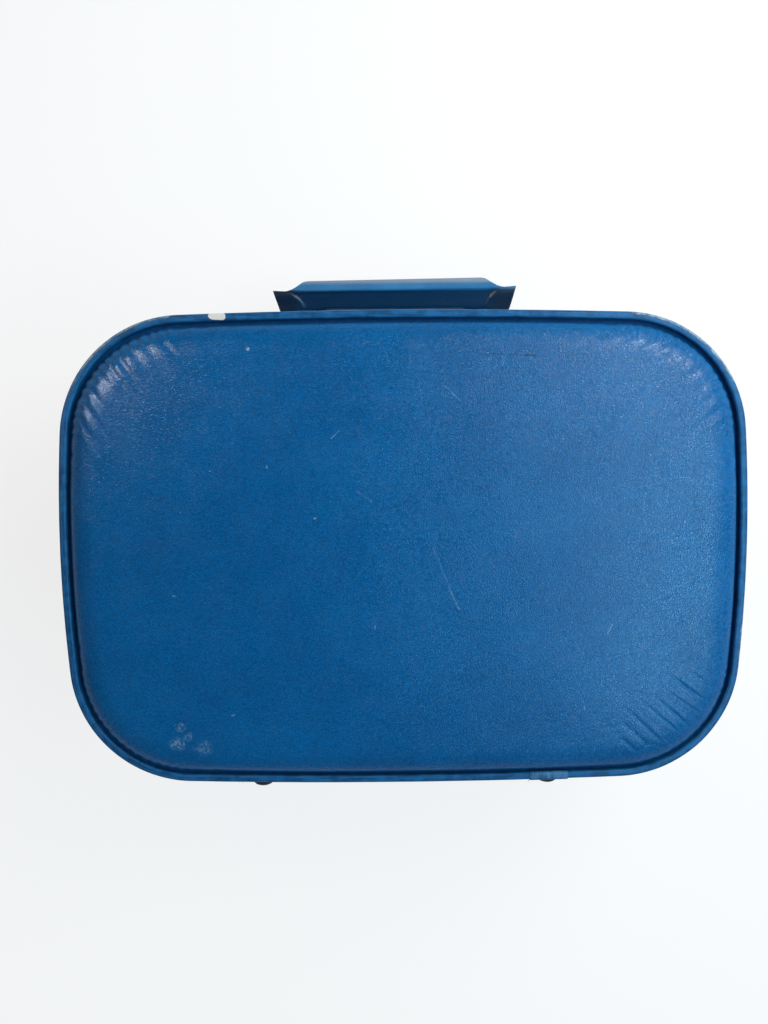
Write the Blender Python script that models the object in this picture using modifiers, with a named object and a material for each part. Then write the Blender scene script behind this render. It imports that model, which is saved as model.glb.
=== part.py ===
# A small hard-sided suitcase with a padded lid, lying on its back with the lid up.
# Metres, +Z up. The origin is the middle of the back cover, on the plane it rests on.
# The handle and latches are on the -Y side, the hinges and feet on the +Y side.

import math

import bmesh
import bpy
from mathutils import Vector

# Case
CASE_LENGTH = 0.406
CASE_WIDTH = 0.2814
BASE_DEPTH = 0.092       # height of the parting line
LID_DEPTH = 0.048        # from the parting line to the lid's rim
SIDE_BOW = 0.0110        # swell of a short side over the whole width
LONG_BOW = 0.0050        # swell of a long side over the whole length
CORNER_RADIUS = 0.073
GAP = 0.0003             # between pieces that touch
SEAM_GAP = 0.0005        # between the base's wall and the lid's
OVERRUN = 0.004          # how far a cut runs past what it cuts

# Rim binding
RIM_WIDTH = 0.0046       # over the face
RIM_DEPTH = 0.0070       # down the wall
RIM_CAP = 0.0036         # thickness over the wall's end
RIM_SIDE = 0.0023        # thickness beside the wall
RIM_ROUND = 0.0018
RIM_EDGE = 0.0008        # chamfer of the edge on the wall
RIM_LIFT = 0.0004        # the back rim stays off the floor

# Walls, boards and linings
WALL_THICKNESS = 0.0030
BOARD_THICKNESS = 0.0030
COVER_INSET = 0.0072     # outer edge of the padded cover and the back cover
BACK_COVER_ROUND = 0.0020
FRAME_THICKNESS = 0.0025
FRAME_HEIGHT = 0.012
TONGUE_DEPTH = 0.005     # how far the valance reaches into the base
TONGUE_THICKNESS = 0.0014
TONGUE_LANDING = 0.0005  # between the tongue and the frame
VALANCE_HEIGHT = 0.012   # the part that stays in the lid
LINING_THICKNESS = 0.0008

# Padded cover
PAD_TUCK = 0.0010        # drawn in at the foot
PAD_SHOULDER = 0.0130    # width of the rolled edge
PAD_ROLL = 0.0110        # height of the rolled edge
PAD_CROWN = 0.0045       # rise from the rolled edge to the middle
PLEAT_DEPTH = 0.0016
PLEAT_LENGTH = 0.030
PLEATS = 14              # in each corner

# Pocket in the lid
POCKET_LENGTH = 0.300
POCKET_WIDTH = 0.130
POCKET_THICKNESS = 0.0030
POCKET_ROUND = 0.030
POCKET_SOFTNESS = 0.0012
POCKET_SETBACK = 0.030   # of its middle, towards the hinges

# Hinges
HINGE_SPACING = 0.176
HINGE_LENGTH = 0.034
HINGE_MIDDLE = 0.0116    # length of the lid's knuckle
HINGE_AXIS = 0.0034      # above the wall
LEAF_HEIGHT = 0.0135
LEAF_THICKNESS = 0.0012
KNUCKLE_RADIUS = 0.0026
KNUCKLE_GAP = 0.0004
HINGE_PIN_RADIUS = 0.0012
PIN_HEAD_RADIUS = 0.0022
PIN_HEAD = 0.0008

# Latches
LATCH_SETOFF = 0.006     # between the handle's tip and the lock case
LOCK_WIDTH = 0.034
LOCK_HEIGHT = 0.026
LOCK_DEPTH = 0.0050
LOCK_DROP = 0.0020       # below the parting line
LOCK_SKIN = 0.0012
LOCK_ROUND = 0.0010
LOCK_FLANGE_WIDTH = 0.018
LOCK_FLANGE_HEIGHT = 0.009
LOCK_FLANGE_THICKNESS = 0.0016
SLIDE_TRAVEL = 0.007
SLIDE_LENGTH = 0.016
SLIDE_HEIGHT = 0.0072
SLIDE_THICKNESS = 0.0025
SLIDE_GAP = 0.0004
STEM_LENGTH = 0.004
STEM_HEIGHT = 0.003
BUTTON_LENGTH = 0.010
BUTTON_HEIGHT = 0.0075
BUTTON_DEPTH = 0.0026
BUTTON_ROUND = 0.0007
NOSE_WIDTH = 0.003
SPRING_RADIUS = 0.00095
SPRING_WIRE = 0.00025
SPRING_TURNS = 5
HASP_WIDTH = 0.018
HASP_LENGTH = 0.023      # from the pin to the lower end
HASP_THICKNESS = 0.0014
HASP_GAP = 0.0004        # in front of the lock case
HASP_PIN_HEIGHT = 0.006  # above the parting line
TONGUE_WIDTH = 0.006
CATCH_THICKNESS = 0.002
CATCH_REACH = 0.0048
CATCH_RISE = 0.0020      # above the hasp's lower end
CATCH_ROOM = 0.0014      # under the catch, for its swing
KEEPER_WIDTH = 0.028
KEEPER_HEIGHT = 0.019
KEEPER_THICKNESS = 0.0014
KEEPER_KNUCKLE = 0.004
KEEPER_WEB_SHARE = 0.8   # of the knuckle's radius
HASP_KNUCKLE_RADIUS = 0.0024
HASP_PIN_RADIUS = 0.0011
HASP_AXIS = 0.0046       # above the wall

# Handle
HANDLE_OFFSET = 0.003    # it sits a little off the middle
HANDLE_DROP = 0.037      # from the parting line to its pins
HANDLE_LENGTH = 0.162
HANDLE_HEIGHT = 0.0368   # top of the ridge above the wall
HANDLE_SHOULDER = 0.0296
RIDGE_SETBACK = 0.0190   # end of the ridge, from the grip's tip
NOTCH_SETBACK = 0.0094   # lowest point between ridge and tip
FINGER_ROOM = 0.0190     # under the grip
FINGER_SETBACK = 0.0290  # end of the finger room, from the tip
LEG_SETBACK = 0.01125    # middle of the leg, from the tip
LEG_WIDTH = 0.0095
LEG_RISE = 0.0134        # where the leg starts to widen
GRIP_DEPTH = 0.022
RIDGE_DEPTH = 0.0104
WAIST_DEPTH = 0.0130
LEG_DEPTH = 0.0108
PIVOT_HEIGHT = 0.007     # pins above the wall
PIVOT_ROUND = 0.005
GRIP_EDGE = 0.0007
FLARE_SHARE = 0.45       # of what the tip reaches past the leg
RIDGE_FLAT_SHARE = 0.76  # flat part of the ridge's depth
WAIST_SHARE = 1.16       # just above the finger room
EAR_THICKNESS = 0.0024
BRACKET_PLATE = 0.0014
BRACKET_MARGIN = 0.0018
BRACKET_HEIGHT = 0.036
EAR_WEB_SHARE = 0.98     # of the ear's radius
HANDLE_PIN_RADIUS = 0.0018

# Feet and rivets
FOOT_SPACING = 0.176
FOOT_RADIUS = 0.0075
FOOT_HEIGHT = 0.0113
FOOT_ROUND = 0.0040
RIVET_RADIUS = 0.0012
RIVET_HEAD_RADIUS = 0.0026
RIVET_HEAD = 0.0011
RIVET_EDGE = 0.0045      # from the rivet's middle to the plate's edge
RIVET_DOME_SHARES = (0.6, 0.8)

# Number of flats that stand for each round stretch
CORNER_STEPS = 9
SIDE_STEPS = 4
LONG_STEPS = 4
ROUND_STEPS = 16
RIVET_STEPS = 8

# What follows from the sizes above
CASE_DEPTH = BASE_DEPTH + LID_DEPTH
HANDLE_LEVEL = BASE_DEPTH - HANDLE_DROP
WALL_INSET = RIM_SIDE + GAP
WALL_INNER = WALL_INSET + WALL_THICKNESS
BOARD_INSET = WALL_INNER + GAP
BASE_WALL_LOW = RIM_LIFT + RIM_CAP + GAP
BASE_WALL_HIGH = BASE_DEPTH - SEAM_GAP / 2
LID_WALL_LOW = BASE_DEPTH + SEAM_GAP / 2
LID_WALL_HIGH = CASE_DEPTH - RIM_CAP - GAP
FRAME_TOP = BASE_DEPTH - TONGUE_DEPTH - TONGUE_LANDING
LINING_INSET = BOARD_INSET + FRAME_THICKNESS + GAP
LID_LINING_INSET = BOARD_INSET + TONGUE_THICKNESS + GAP
BASE_FLOOR = BASE_WALL_LOW + BOARD_THICKNESS + GAP
LID_CEILING = LID_WALL_HIGH - BOARD_THICKNESS - GAP
LATCH_X = HANDLE_OFFSET + HANDLE_LENGTH / 2 + LATCH_SETOFF + LOCK_WIDTH / 2
LEG_X = HANDLE_LENGTH / 2 - LEG_SETBACK
LEG_INNER = LEG_X - LEG_WIDTH / 2
LEG_OUTER = LEG_X + LEG_WIDTH / 2

# Colours, as linear red, green and blue
BLUE_VINYL = (0.012, 0.100, 0.290)
RIM_VINYL = (0.020, 0.115, 0.230)
HANDLE_BLUE = (0.018, 0.110, 0.260)
STEEL = (0.550, 0.540, 0.510)
DARK_RUBBER = (0.020, 0.022, 0.025)
FIBREBOARD = (0.230, 0.150, 0.085)
LINING_CLOTH = (0.360, 0.420, 0.470)


def clear_scene():
    for item in list(bpy.data.objects):
        bpy.data.objects.remove(item, do_unlink=True)


def collection(name):
    group = bpy.data.collections.new(name)
    bpy.context.scene.collection.children.link(group)
    return group


def finish(item, name, colour, roughness, metallic=0.0):
    """Name a finished piece, put it with the parts and give it its own material."""
    item.name = name
    item.data.name = name
    for group in list(item.users_collection):
        group.objects.unlink(item)
    bpy.data.collections["suitcase"].objects.link(item)
    paint = bpy.data.materials.new(name + "_finish")
    paint.use_nodes = True
    shader = paint.node_tree.nodes["Principled BSDF"]
    shader.inputs["Base Color"].default_value = (*colour, 1.0)
    shader.inputs["Roughness"].default_value = roughness
    shader.inputs["Metallic"].default_value = metallic
    paint.diffuse_color = (*colour, 1.0)
    item.data.materials.clear()
    item.data.materials.append(paint)
    return item


def combine(item, tool, operation="DIFFERENCE"):
    """Cut or join item with tool, which becomes a cutter."""
    if tool.name not in bpy.data.collections["cutters"].objects:
        for group in list(tool.users_collection):
            group.objects.unlink(tool)
        bpy.data.collections["cutters"].objects.link(tool)
        tool.hide_render = True
        tool.display_type = "WIRE"
    step = item.modifiers.new(operation.title(), "BOOLEAN")
    step.operation = operation
    step.solver = "EXACT"
    step.object = tool
    return item


def smooth(item):
    item.data.shade_smooth()
    item.data.set_sharp_from_angle(angle=math.radians(35))
    return item


def bevel(item, width, segments=2):
    step = item.modifiers.new("Rounded edges", "BEVEL")
    step.width = width
    step.segments = segments
    step.limit_method = "ANGLE"
    step.angle_limit = math.radians(35)
    return item


def block(name, low, high):
    """A box between two corners, given in any order."""
    middle = [(a + b) / 2 for a, b in zip(low, high)]
    bpy.ops.mesh.primitive_cube_add(size=1, location=middle)
    item = bpy.context.active_object
    item.name = name
    item.scale = [abs(b - a) for a, b in zip(low, high)]
    bpy.ops.object.transform_apply(location=False, rotation=False, scale=True)
    return item


def rod(name, radius, start, end, y, z, steps=ROUND_STEPS):
    """A cylinder along X."""
    bpy.ops.mesh.primitive_cylinder_add(
        vertices=steps, radius=radius, depth=abs(end - start),
        location=((start + end) / 2, y, z), rotation=(0, math.radians(90), 0))
    item = bpy.context.active_object
    item.name = name
    return item


def turned(name, profile, steps=ROUND_STEPS):
    """A solid of revolution about its own Z. The profile runs down its outer side."""
    mesh = bpy.data.meshes.new(name)
    edges = [(i, i + 1) for i in range(len(profile) - 1)]
    mesh.from_pydata([(radius, 0, height) for radius, height in profile], edges, [])
    item = bpy.data.objects.new(name, mesh)
    bpy.context.scene.collection.objects.link(item)
    screw = item.modifiers.new("Turned", "SCREW")
    screw.steps = steps
    screw.render_steps = steps
    screw.use_merge_vertices = True
    screw.merge_threshold = GAP / 10
    return item


def as_mesh(curve_object):
    """Turn a curve object into a mesh object with welded caps."""
    bpy.context.view_layer.update()
    graph = bpy.context.evaluated_depsgraph_get()
    mesh = bpy.data.meshes.new_from_object(curve_object.evaluated_get(graph))
    shell = bmesh.new()
    shell.from_mesh(mesh)
    bmesh.ops.remove_doubles(shell, verts=shell.verts, dist=GAP / 10)
    bmesh.ops.dissolve_limit(shell, angle_limit=math.radians(0.5), verts=shell.verts, edges=shell.edges)
    bmesh.ops.recalc_face_normals(shell, faces=shell.faces)
    shell.to_mesh(mesh)
    shell.free()
    item = bpy.data.objects.new(curve_object.name, mesh)
    item.matrix_world = curve_object.matrix_world
    bpy.context.scene.collection.objects.link(item)
    bpy.data.objects.remove(curve_object, do_unlink=True)
    return item


def flat_curve(name, points, cyclic=True):
    curve = bpy.data.curves.new(name, "CURVE")
    curve.dimensions = "2D"
    spline = curve.splines.new("POLY")
    spline.points.add(len(points) - 1)
    for knot, (x, y) in zip(spline.points, points):
        knot.co = (x, y, 0, 1)
    spline.use_cyclic_u = cyclic
    item = bpy.data.objects.new(name, curve)
    bpy.context.scene.collection.objects.link(item)
    return item


def prism(name, points, low, high):
    """A flat outline drawn in X and Y, from height low to height high."""
    item = flat_curve(name, points)
    item.data.fill_mode = "BOTH"
    item.data.extrude = (high - low) / 2
    item.location.z = (low + high) / 2
    return as_mesh(item)


def outline_arcs(inset):
    """Centre, radius and angles of the side, corner and long arcs of one quarter."""
    half_length = CASE_LENGTH / 2
    half_width = CASE_WIDTH / 2
    side_radius = (half_width ** 2 + SIDE_BOW ** 2) / (2 * SIDE_BOW)
    long_radius = (half_length ** 2 + LONG_BOW ** 2) / (2 * LONG_BOW)
    side_centre = Vector((half_length - side_radius, 0))
    long_centre = Vector((0, half_width - long_radius))
    # The corner's circle touches both of the others from inside
    across = long_centre - side_centre
    side_reach = side_radius - CORNER_RADIUS
    long_reach = long_radius - CORNER_RADIUS
    along = (side_reach ** 2 - long_reach ** 2 + across.length ** 2) / (2 * across.length)
    aside = math.sqrt(side_reach ** 2 - along ** 2)
    unit = across.normalized()
    corner_centre = side_centre + along * unit + aside * Vector((-unit.y, unit.x))
    first = math.atan2(corner_centre.y - side_centre.y, corner_centre.x - side_centre.x)
    last = math.atan2(corner_centre.y - long_centre.y, corner_centre.x - long_centre.x)
    side = (side_centre, side_radius - inset)
    corner = (corner_centre, CORNER_RADIUS - inset)
    long_side = (long_centre, long_radius - inset)
    return side, corner, long_side, first, last


def outline(inset, corner_steps=CORNER_STEPS, dip=0):
    """The case's outline, drawn in by inset. A dip draws in every second corner point more."""
    side, corner, long_side, first, last = outline_arcs(inset)
    stretches = []
    for turn in (0, 1):
        back = turn * math.pi
        stretches.append((side, -first + back, first + back, SIDE_STEPS, turn, turn, 0))
        stretches.append((corner, first + back, last + back, corner_steps, turn, turn, dip))
        stretches.append((long_side, last + back, math.pi - last + back, LONG_STEPS, turn, turn, 0))
        stretches.append((corner, math.pi - last + back, math.pi - first + back, corner_steps,
                          1 - turn, turn, dip))
    points = []
    for (centre, radius), start, end, steps, flip_x, flip_y, sink in stretches:
        middle_x = -centre.x if flip_x else centre.x
        middle_y = -centre.y if flip_y else centre.y
        for i in range(steps):
            angle = start + (end - start) * i / steps
            reach = radius - sink * (i % 2)
            points.append((middle_x + reach * math.cos(angle), middle_y + reach * math.sin(angle)))
    return points


def wall_y(x):
    """How far the outer face of a long wall is from the middle, at x."""
    (centre, radius) = outline_arcs(WALL_INSET)[2]
    return centre.y + math.sqrt(radius ** 2 - x ** 2)


def ring(name, section):
    """A hoop round the case, with its section given as inset and height."""
    path = flat_curve(name, outline(0))
    guide = flat_curve(name + "_section", section)
    path.data.fill_mode = "NONE"
    path.data.bevel_mode = "OBJECT"
    path.data.bevel_object = guide
    item = as_mesh(path)
    bpy.data.objects.remove(guide, do_unlink=True)
    return item


def band(name, outer, inner, low, high):
    """A plain hoop of rectangular section."""
    return ring(name, [(outer, low), (inner, low), (inner, high), (outer, high)])


def tray(name, inset, floor, lip):
    """A thin lining: a flat floor and one wall that runs to the height of its lip."""
    mesh = bpy.data.meshes.new(name)
    shell = bmesh.new()
    face = shell.faces.new([shell.verts.new((x, y, floor)) for x, y in outline(inset)])
    sides = bmesh.ops.extrude_edge_only(shell, edges=face.edges[:])
    rim = [part for part in sides["geom"] if isinstance(part, bmesh.types.BMVert)]
    bmesh.ops.translate(shell, verts=rim, vec=(0, 0, lip - floor))
    bmesh.ops.recalc_face_normals(shell, faces=shell.faces)
    outward = face.normal.z * (lip - floor) < 0
    if not outward:
        bmesh.ops.reverse_faces(shell, faces=shell.faces)
    shell.to_mesh(mesh)
    shell.free()
    item = bpy.data.objects.new(name, mesh)
    bpy.context.scene.collection.objects.link(item)
    cloth = item.modifiers.new("Thickness", "SOLIDIFY")
    cloth.thickness = LINING_THICKNESS
    cloth.offset = -1
    cloth.use_even_offset = True
    return item


def rim(name, face, inward):
    """Rounded binding that wraps the end of a wall. Inward is +1 for the back rim, -1 for the lid's."""
    section = []
    for i in range(3):
        angle = math.radians(45) * i
        section.append((RIM_ROUND * (1 - math.cos(angle)), RIM_ROUND * (1 - math.sin(angle))))
    section += [(RIM_WIDTH - side, depth) for side, depth in reversed(section)]
    section += [(RIM_WIDTH, RIM_CAP), (RIM_SIDE, RIM_CAP), (RIM_SIDE, RIM_DEPTH),
                (RIM_EDGE, RIM_DEPTH), (0, RIM_DEPTH - RIM_EDGE)]
    item = ring(name, [(side, face + inward * depth) for side, depth in section])
    return finish(smooth(item), name, RIM_VINYL, 0.45)


def drill(item, centres, start, end):
    """Rivet holes along Y through item, one at each x and z."""
    for x, z in centres:
        bpy.ops.mesh.primitive_cylinder_add(
            vertices=RIVET_STEPS, radius=RIVET_RADIUS + GAP, depth=abs(end - start),
            location=(x, (start + end) / 2, z), rotation=(math.radians(90), 0, 0))
        hole = bpy.context.active_object
        hole.name = item.name + "_rivet_hole"
        combine(item, hole)


def rivet(name, x, z, seat, side):
    """A domed rivet through a plate and the wall. Side is -1 on the handle's side, +1 on the hinges'."""
    shank = seat - (wall_y(abs(x)) - WALL_THICKNESS) + GAP
    dome_share, height_share = RIVET_DOME_SHARES
    profile = [(0, RIVET_HEAD), (RIVET_HEAD_RADIUS * dome_share, RIVET_HEAD * height_share),
               (RIVET_HEAD_RADIUS, 0), (RIVET_RADIUS, 0), (RIVET_RADIUS, -shank), (0, -shank)]
    item = turned(name, profile, RIVET_STEPS)
    item.location = (x, side * (seat + GAP), z)
    item.rotation_euler = (math.radians(-90) * side, 0, 0)
    return finish(smooth(item), name, STEEL, 0.3, 1.0)


def side_wall(name, low, high, holes):
    """A half's wall with its rivet holes, each group of them on the -Y or the +Y side."""
    wall = band(name, WALL_INSET, WALL_INNER, low, high)
    for centres, side in holes:
        inside = CASE_WIDTH / 2 - WALL_INNER - OVERRUN
        drill(wall, centres, side * inside, side * (CASE_WIDTH / 2 + OVERRUN))
    finish(wall, name, BLUE_VINYL, 0.5)


def build_base(holes):
    side_wall("base_side_wall", BASE_WALL_LOW, BASE_WALL_HIGH, holes)
    board = prism("board", outline(BOARD_INSET), BASE_WALL_LOW, BASE_WALL_LOW + BOARD_THICKNESS)
    finish(board, "base_back_board", FIBREBOARD, 0.8)
    cover = prism("cover", outline(COVER_INSET), 0, BASE_WALL_LOW - GAP)
    finish(smooth(bevel(cover, BACK_COVER_ROUND)), "base_back_cover", BLUE_VINYL, 0.5)
    rim("base_rim", RIM_LIFT, 1)
    frame = band("frame", BOARD_INSET, BOARD_INSET + FRAME_THICKNESS, FRAME_TOP - FRAME_HEIGHT, FRAME_TOP)
    finish(frame, "base_frame", FIBREBOARD, 0.7)
    finish(tray("lining", LINING_INSET, BASE_FLOOR, FRAME_TOP), "base_lining", LINING_CLOTH, 0.9)


def build_padded_cover():
    """The lid's soft face: drawn in at its foot, rolled over its edge and pleated at the corners."""
    foot = LID_WALL_HIGH + GAP
    steps = 2 * PLEATS
    # For each ring: shares of the shoulder's width and height, and of the pleats' depth
    roll_shares = ((0, 0.20, 0.5), (0.08, 0.55, 1.0), (0.36, 0.84, 1.0), (1, 1, 0.7))
    rings = [(COVER_INSET + PAD_TUCK, foot, 0)]
    for width_share, height_share, pleat_share in roll_shares:
        rings.append((COVER_INSET + width_share * PAD_SHOULDER, foot + height_share * PAD_ROLL, pleat_share))
    smooth_start = COVER_INSET + PLEAT_LENGTH
    crown_share = 0.45
    rings.append((smooth_start, foot + PAD_ROLL + crown_share * PAD_CROWN, 0))
    shell = bmesh.new()
    loops = []
    flags = [dipped != plain for dipped, plain in
             zip(outline(0, steps, PLEAT_DEPTH), outline(0, steps))]
    for inset, height, pleat_share in rings:
        points = outline(inset, steps, PLEAT_DEPTH * pleat_share)
        sink = PLEAT_DEPTH * pleat_share
        loops.append([shell.verts.new((x, y, height - sink * flag))
                      for (x, y), flag in zip(points, flags)])
    middle_share = 0.5
    middle_crown_share = 0.92
    middle_height = foot + PAD_ROLL + middle_crown_share * PAD_CROWN
    loops.append([shell.verts.new((x * middle_share, y * middle_share, middle_height))
                  for x, y in outline(smooth_start, steps)])
    count = len(flags)
    for lower, upper in zip(loops, loops[1:]):
        for i in range(count):
            j = (i + 1) % count
            shell.faces.new((lower[i], lower[j], upper[j], upper[i]))
    top = shell.verts.new((0, 0, foot + PAD_ROLL + PAD_CROWN))
    for i in range(count):
        shell.faces.new((loops[-1][i], loops[-1][(i + 1) % count], top))
    shell.faces.new(reversed(loops[0]))
    bmesh.ops.recalc_face_normals(shell, faces=shell.faces)
    mesh = bpy.data.meshes.new("pad")
    shell.to_mesh(mesh)
    shell.free()
    pad = bpy.data.objects.new("pad", mesh)
    bpy.context.scene.collection.objects.link(pad)
    mesh.shade_smooth()
    finish(pad, "lid_padded_cover", BLUE_VINYL, 0.45)


def rounded_rectangle(length, width, radius, middle_y, steps=4):
    points = []
    for quarter, (sx, sy) in enumerate(((1, 1), (-1, 1), (-1, -1), (1, -1))):
        for i in range(steps + 1):
            angle = math.radians(90) * (quarter + i / steps)
            points.append((sx * (length / 2 - radius) + radius * math.cos(angle),
                           middle_y + sy * (width / 2 - radius) + radius * math.sin(angle)))
    return points


def build_lid(holes):
    side_wall("lid_side_wall", LID_WALL_LOW, LID_WALL_HIGH, holes)
    board = prism("board", outline(BOARD_INSET), LID_WALL_HIGH - BOARD_THICKNESS, LID_WALL_HIGH)
    finish(board, "lid_top_board", FIBREBOARD, 0.8)
    build_padded_cover()
    rim("lid_rim", CASE_DEPTH, -1)
    valance = band("valance", BOARD_INSET, BOARD_INSET + TONGUE_THICKNESS,
                   BASE_DEPTH - TONGUE_DEPTH, BASE_DEPTH + VALANCE_HEIGHT)
    finish(valance, "lid_valance", STEEL, 0.4, 1.0)
    lining = tray("lining", LID_LINING_INSET, LID_CEILING, LID_WALL_LOW)
    finish(lining, "lid_lining", LINING_CLOTH, 0.9)
    top = LID_CEILING - LINING_THICKNESS - GAP
    pocket = prism("pocket", rounded_rectangle(POCKET_LENGTH, POCKET_WIDTH, POCKET_ROUND, POCKET_SETBACK),
                   top - POCKET_THICKNESS, top)
    finish(bevel(pocket, POCKET_SOFTNESS), "lid_pocket", LINING_CLOTH, 0.8)


def pin(name, radius, head_radius, head, start, end, y, z):
    """A pin along X with a flat head outside each of its two ends."""
    length = end - start
    profile = [(0, length + head), (head_radius, length + head), (head_radius, length), (radius, length),
               (radius, 0), (head_radius, 0), (head_radius, -head), (0, -head)]
    item = turned(name, profile, ROUND_STEPS)
    item.location = (start, y, z)
    item.rotation_euler = (0, math.radians(90), 0)
    return finish(smooth(item), name, STEEL, 0.3, 1.0)


def hinge_seat():
    """Outer face of a hinge's leaf, from the case's middle plane."""
    return wall_y(HINGE_SPACING / 2 - HINGE_LENGTH / 2) + GAP + LEAF_THICKNESS


def hinge_rivets(hand, half):
    """Places of a leaf's two rivets. Half is -1 for the base's leaf and +1 for the lid's."""
    z = BASE_DEPTH + half * (LEAF_HEIGHT - RIVET_EDGE)
    spread = HINGE_LENGTH / 2 - RIVET_EDGE
    return [(hand * HINGE_SPACING / 2 - spread, z), (hand * HINGE_SPACING / 2 + spread, z)]


def build_hinge(side_name, hand, envelope):
    middle = hand * HINGE_SPACING / 2
    axis_y = hinge_seat() - GAP - LEAF_THICKNESS + HINGE_AXIS
    ends = (middle - HINGE_LENGTH / 2, middle + HINGE_LENGTH / 2)
    inner = (middle - HINGE_MIDDLE / 2, middle + HINGE_MIDDLE / 2)
    outer_knuckles = [(ends[0], inner[0] - KNUCKLE_GAP), (inner[1] + KNUCKLE_GAP, ends[1])]
    bore_radius = HINGE_PIN_RADIUS + GAP
    clear_radius = KNUCKLE_RADIUS + KNUCKLE_GAP
    for half, half_name in ((-1, "base"), (1, "lid")):
        name = "hinge_" + side_name + "_" + half_name + "_leaf"
        edge = BASE_DEPTH + half * SEAM_GAP / 2
        leaf = block(name, (ends[0], hinge_seat() - LEAF_THICKNESS - OVERRUN, edge),
                     (ends[1], hinge_seat(), BASE_DEPTH + half * LEAF_HEIGHT))
        own, other = (outer_knuckles, [inner]) if half < 0 else ([inner], outer_knuckles)
        for start, end in own:
            combine(leaf, rod(name + "_knuckle", KNUCKLE_RADIUS, start, end, axis_y, BASE_DEPTH), "UNION")
        for start, end in other:
            room = rod(name + "_room", clear_radius, start - KNUCKLE_GAP, end + KNUCKLE_GAP,
                       axis_y, BASE_DEPTH)
            combine(leaf, room)
        bore = rod(name + "_bore", bore_radius, ends[0] - OVERRUN, ends[1] + OVERRUN, axis_y, BASE_DEPTH)
        combine(leaf, bore)
        combine(leaf, envelope)
        drill(leaf, hinge_rivets(hand, half), hinge_seat() - OVERRUN, hinge_seat() + OVERRUN)
        finish(leaf, name, STEEL, 0.35, 1.0)
        for (x, z), place in zip(hinge_rivets(hand, half), ("first", "second")):
            rivet("rivet_" + name + "_" + place, x, z, hinge_seat(), 1)
    pin("hinge_" + side_name + "_pin", HINGE_PIN_RADIUS, PIN_HEAD_RADIUS, PIN_HEAD,
        ends[0] - GAP, ends[1] + GAP, axis_y, BASE_DEPTH)


def latch_seat():
    """The wall at the latch's inner edge, where it stands out most."""
    return wall_y(LATCH_X - LOCK_WIDTH / 2)


def keeper_rivets(hand):
    z = BASE_DEPTH + SEAM_GAP + KEEPER_HEIGHT - RIVET_EDGE
    spread = KEEPER_WIDTH / 2 - RIVET_EDGE
    return [(hand * LATCH_X - spread, z), (hand * LATCH_X + spread, z)]


def lock_rivet(hand):
    return [(hand * LATCH_X, BASE_DEPTH - LOCK_DROP - LOCK_HEIGHT - LOCK_FLANGE_HEIGHT + RIVET_EDGE)]


def coil(name, start, end, y, z):
    """A return spring along X."""
    points_per_turn = 6
    curve = bpy.data.curves.new(name, "CURVE")
    curve.dimensions = "3D"
    curve.bevel_depth = SPRING_WIRE
    curve.bevel_resolution = 1
    curve.use_fill_caps = True
    spline = curve.splines.new("POLY")
    count = SPRING_TURNS * points_per_turn
    spline.points.add(count)
    for i, knot in enumerate(spline.points):
        angle = math.tau * i / points_per_turn
        x = start + (end - start) * i / count
        knot.co = (x, y + SPRING_RADIUS * math.cos(angle), z + SPRING_RADIUS * math.sin(angle), 1)
    item = bpy.data.objects.new(name, curve)
    bpy.context.scene.collection.objects.link(item)
    return as_mesh(item)


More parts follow.
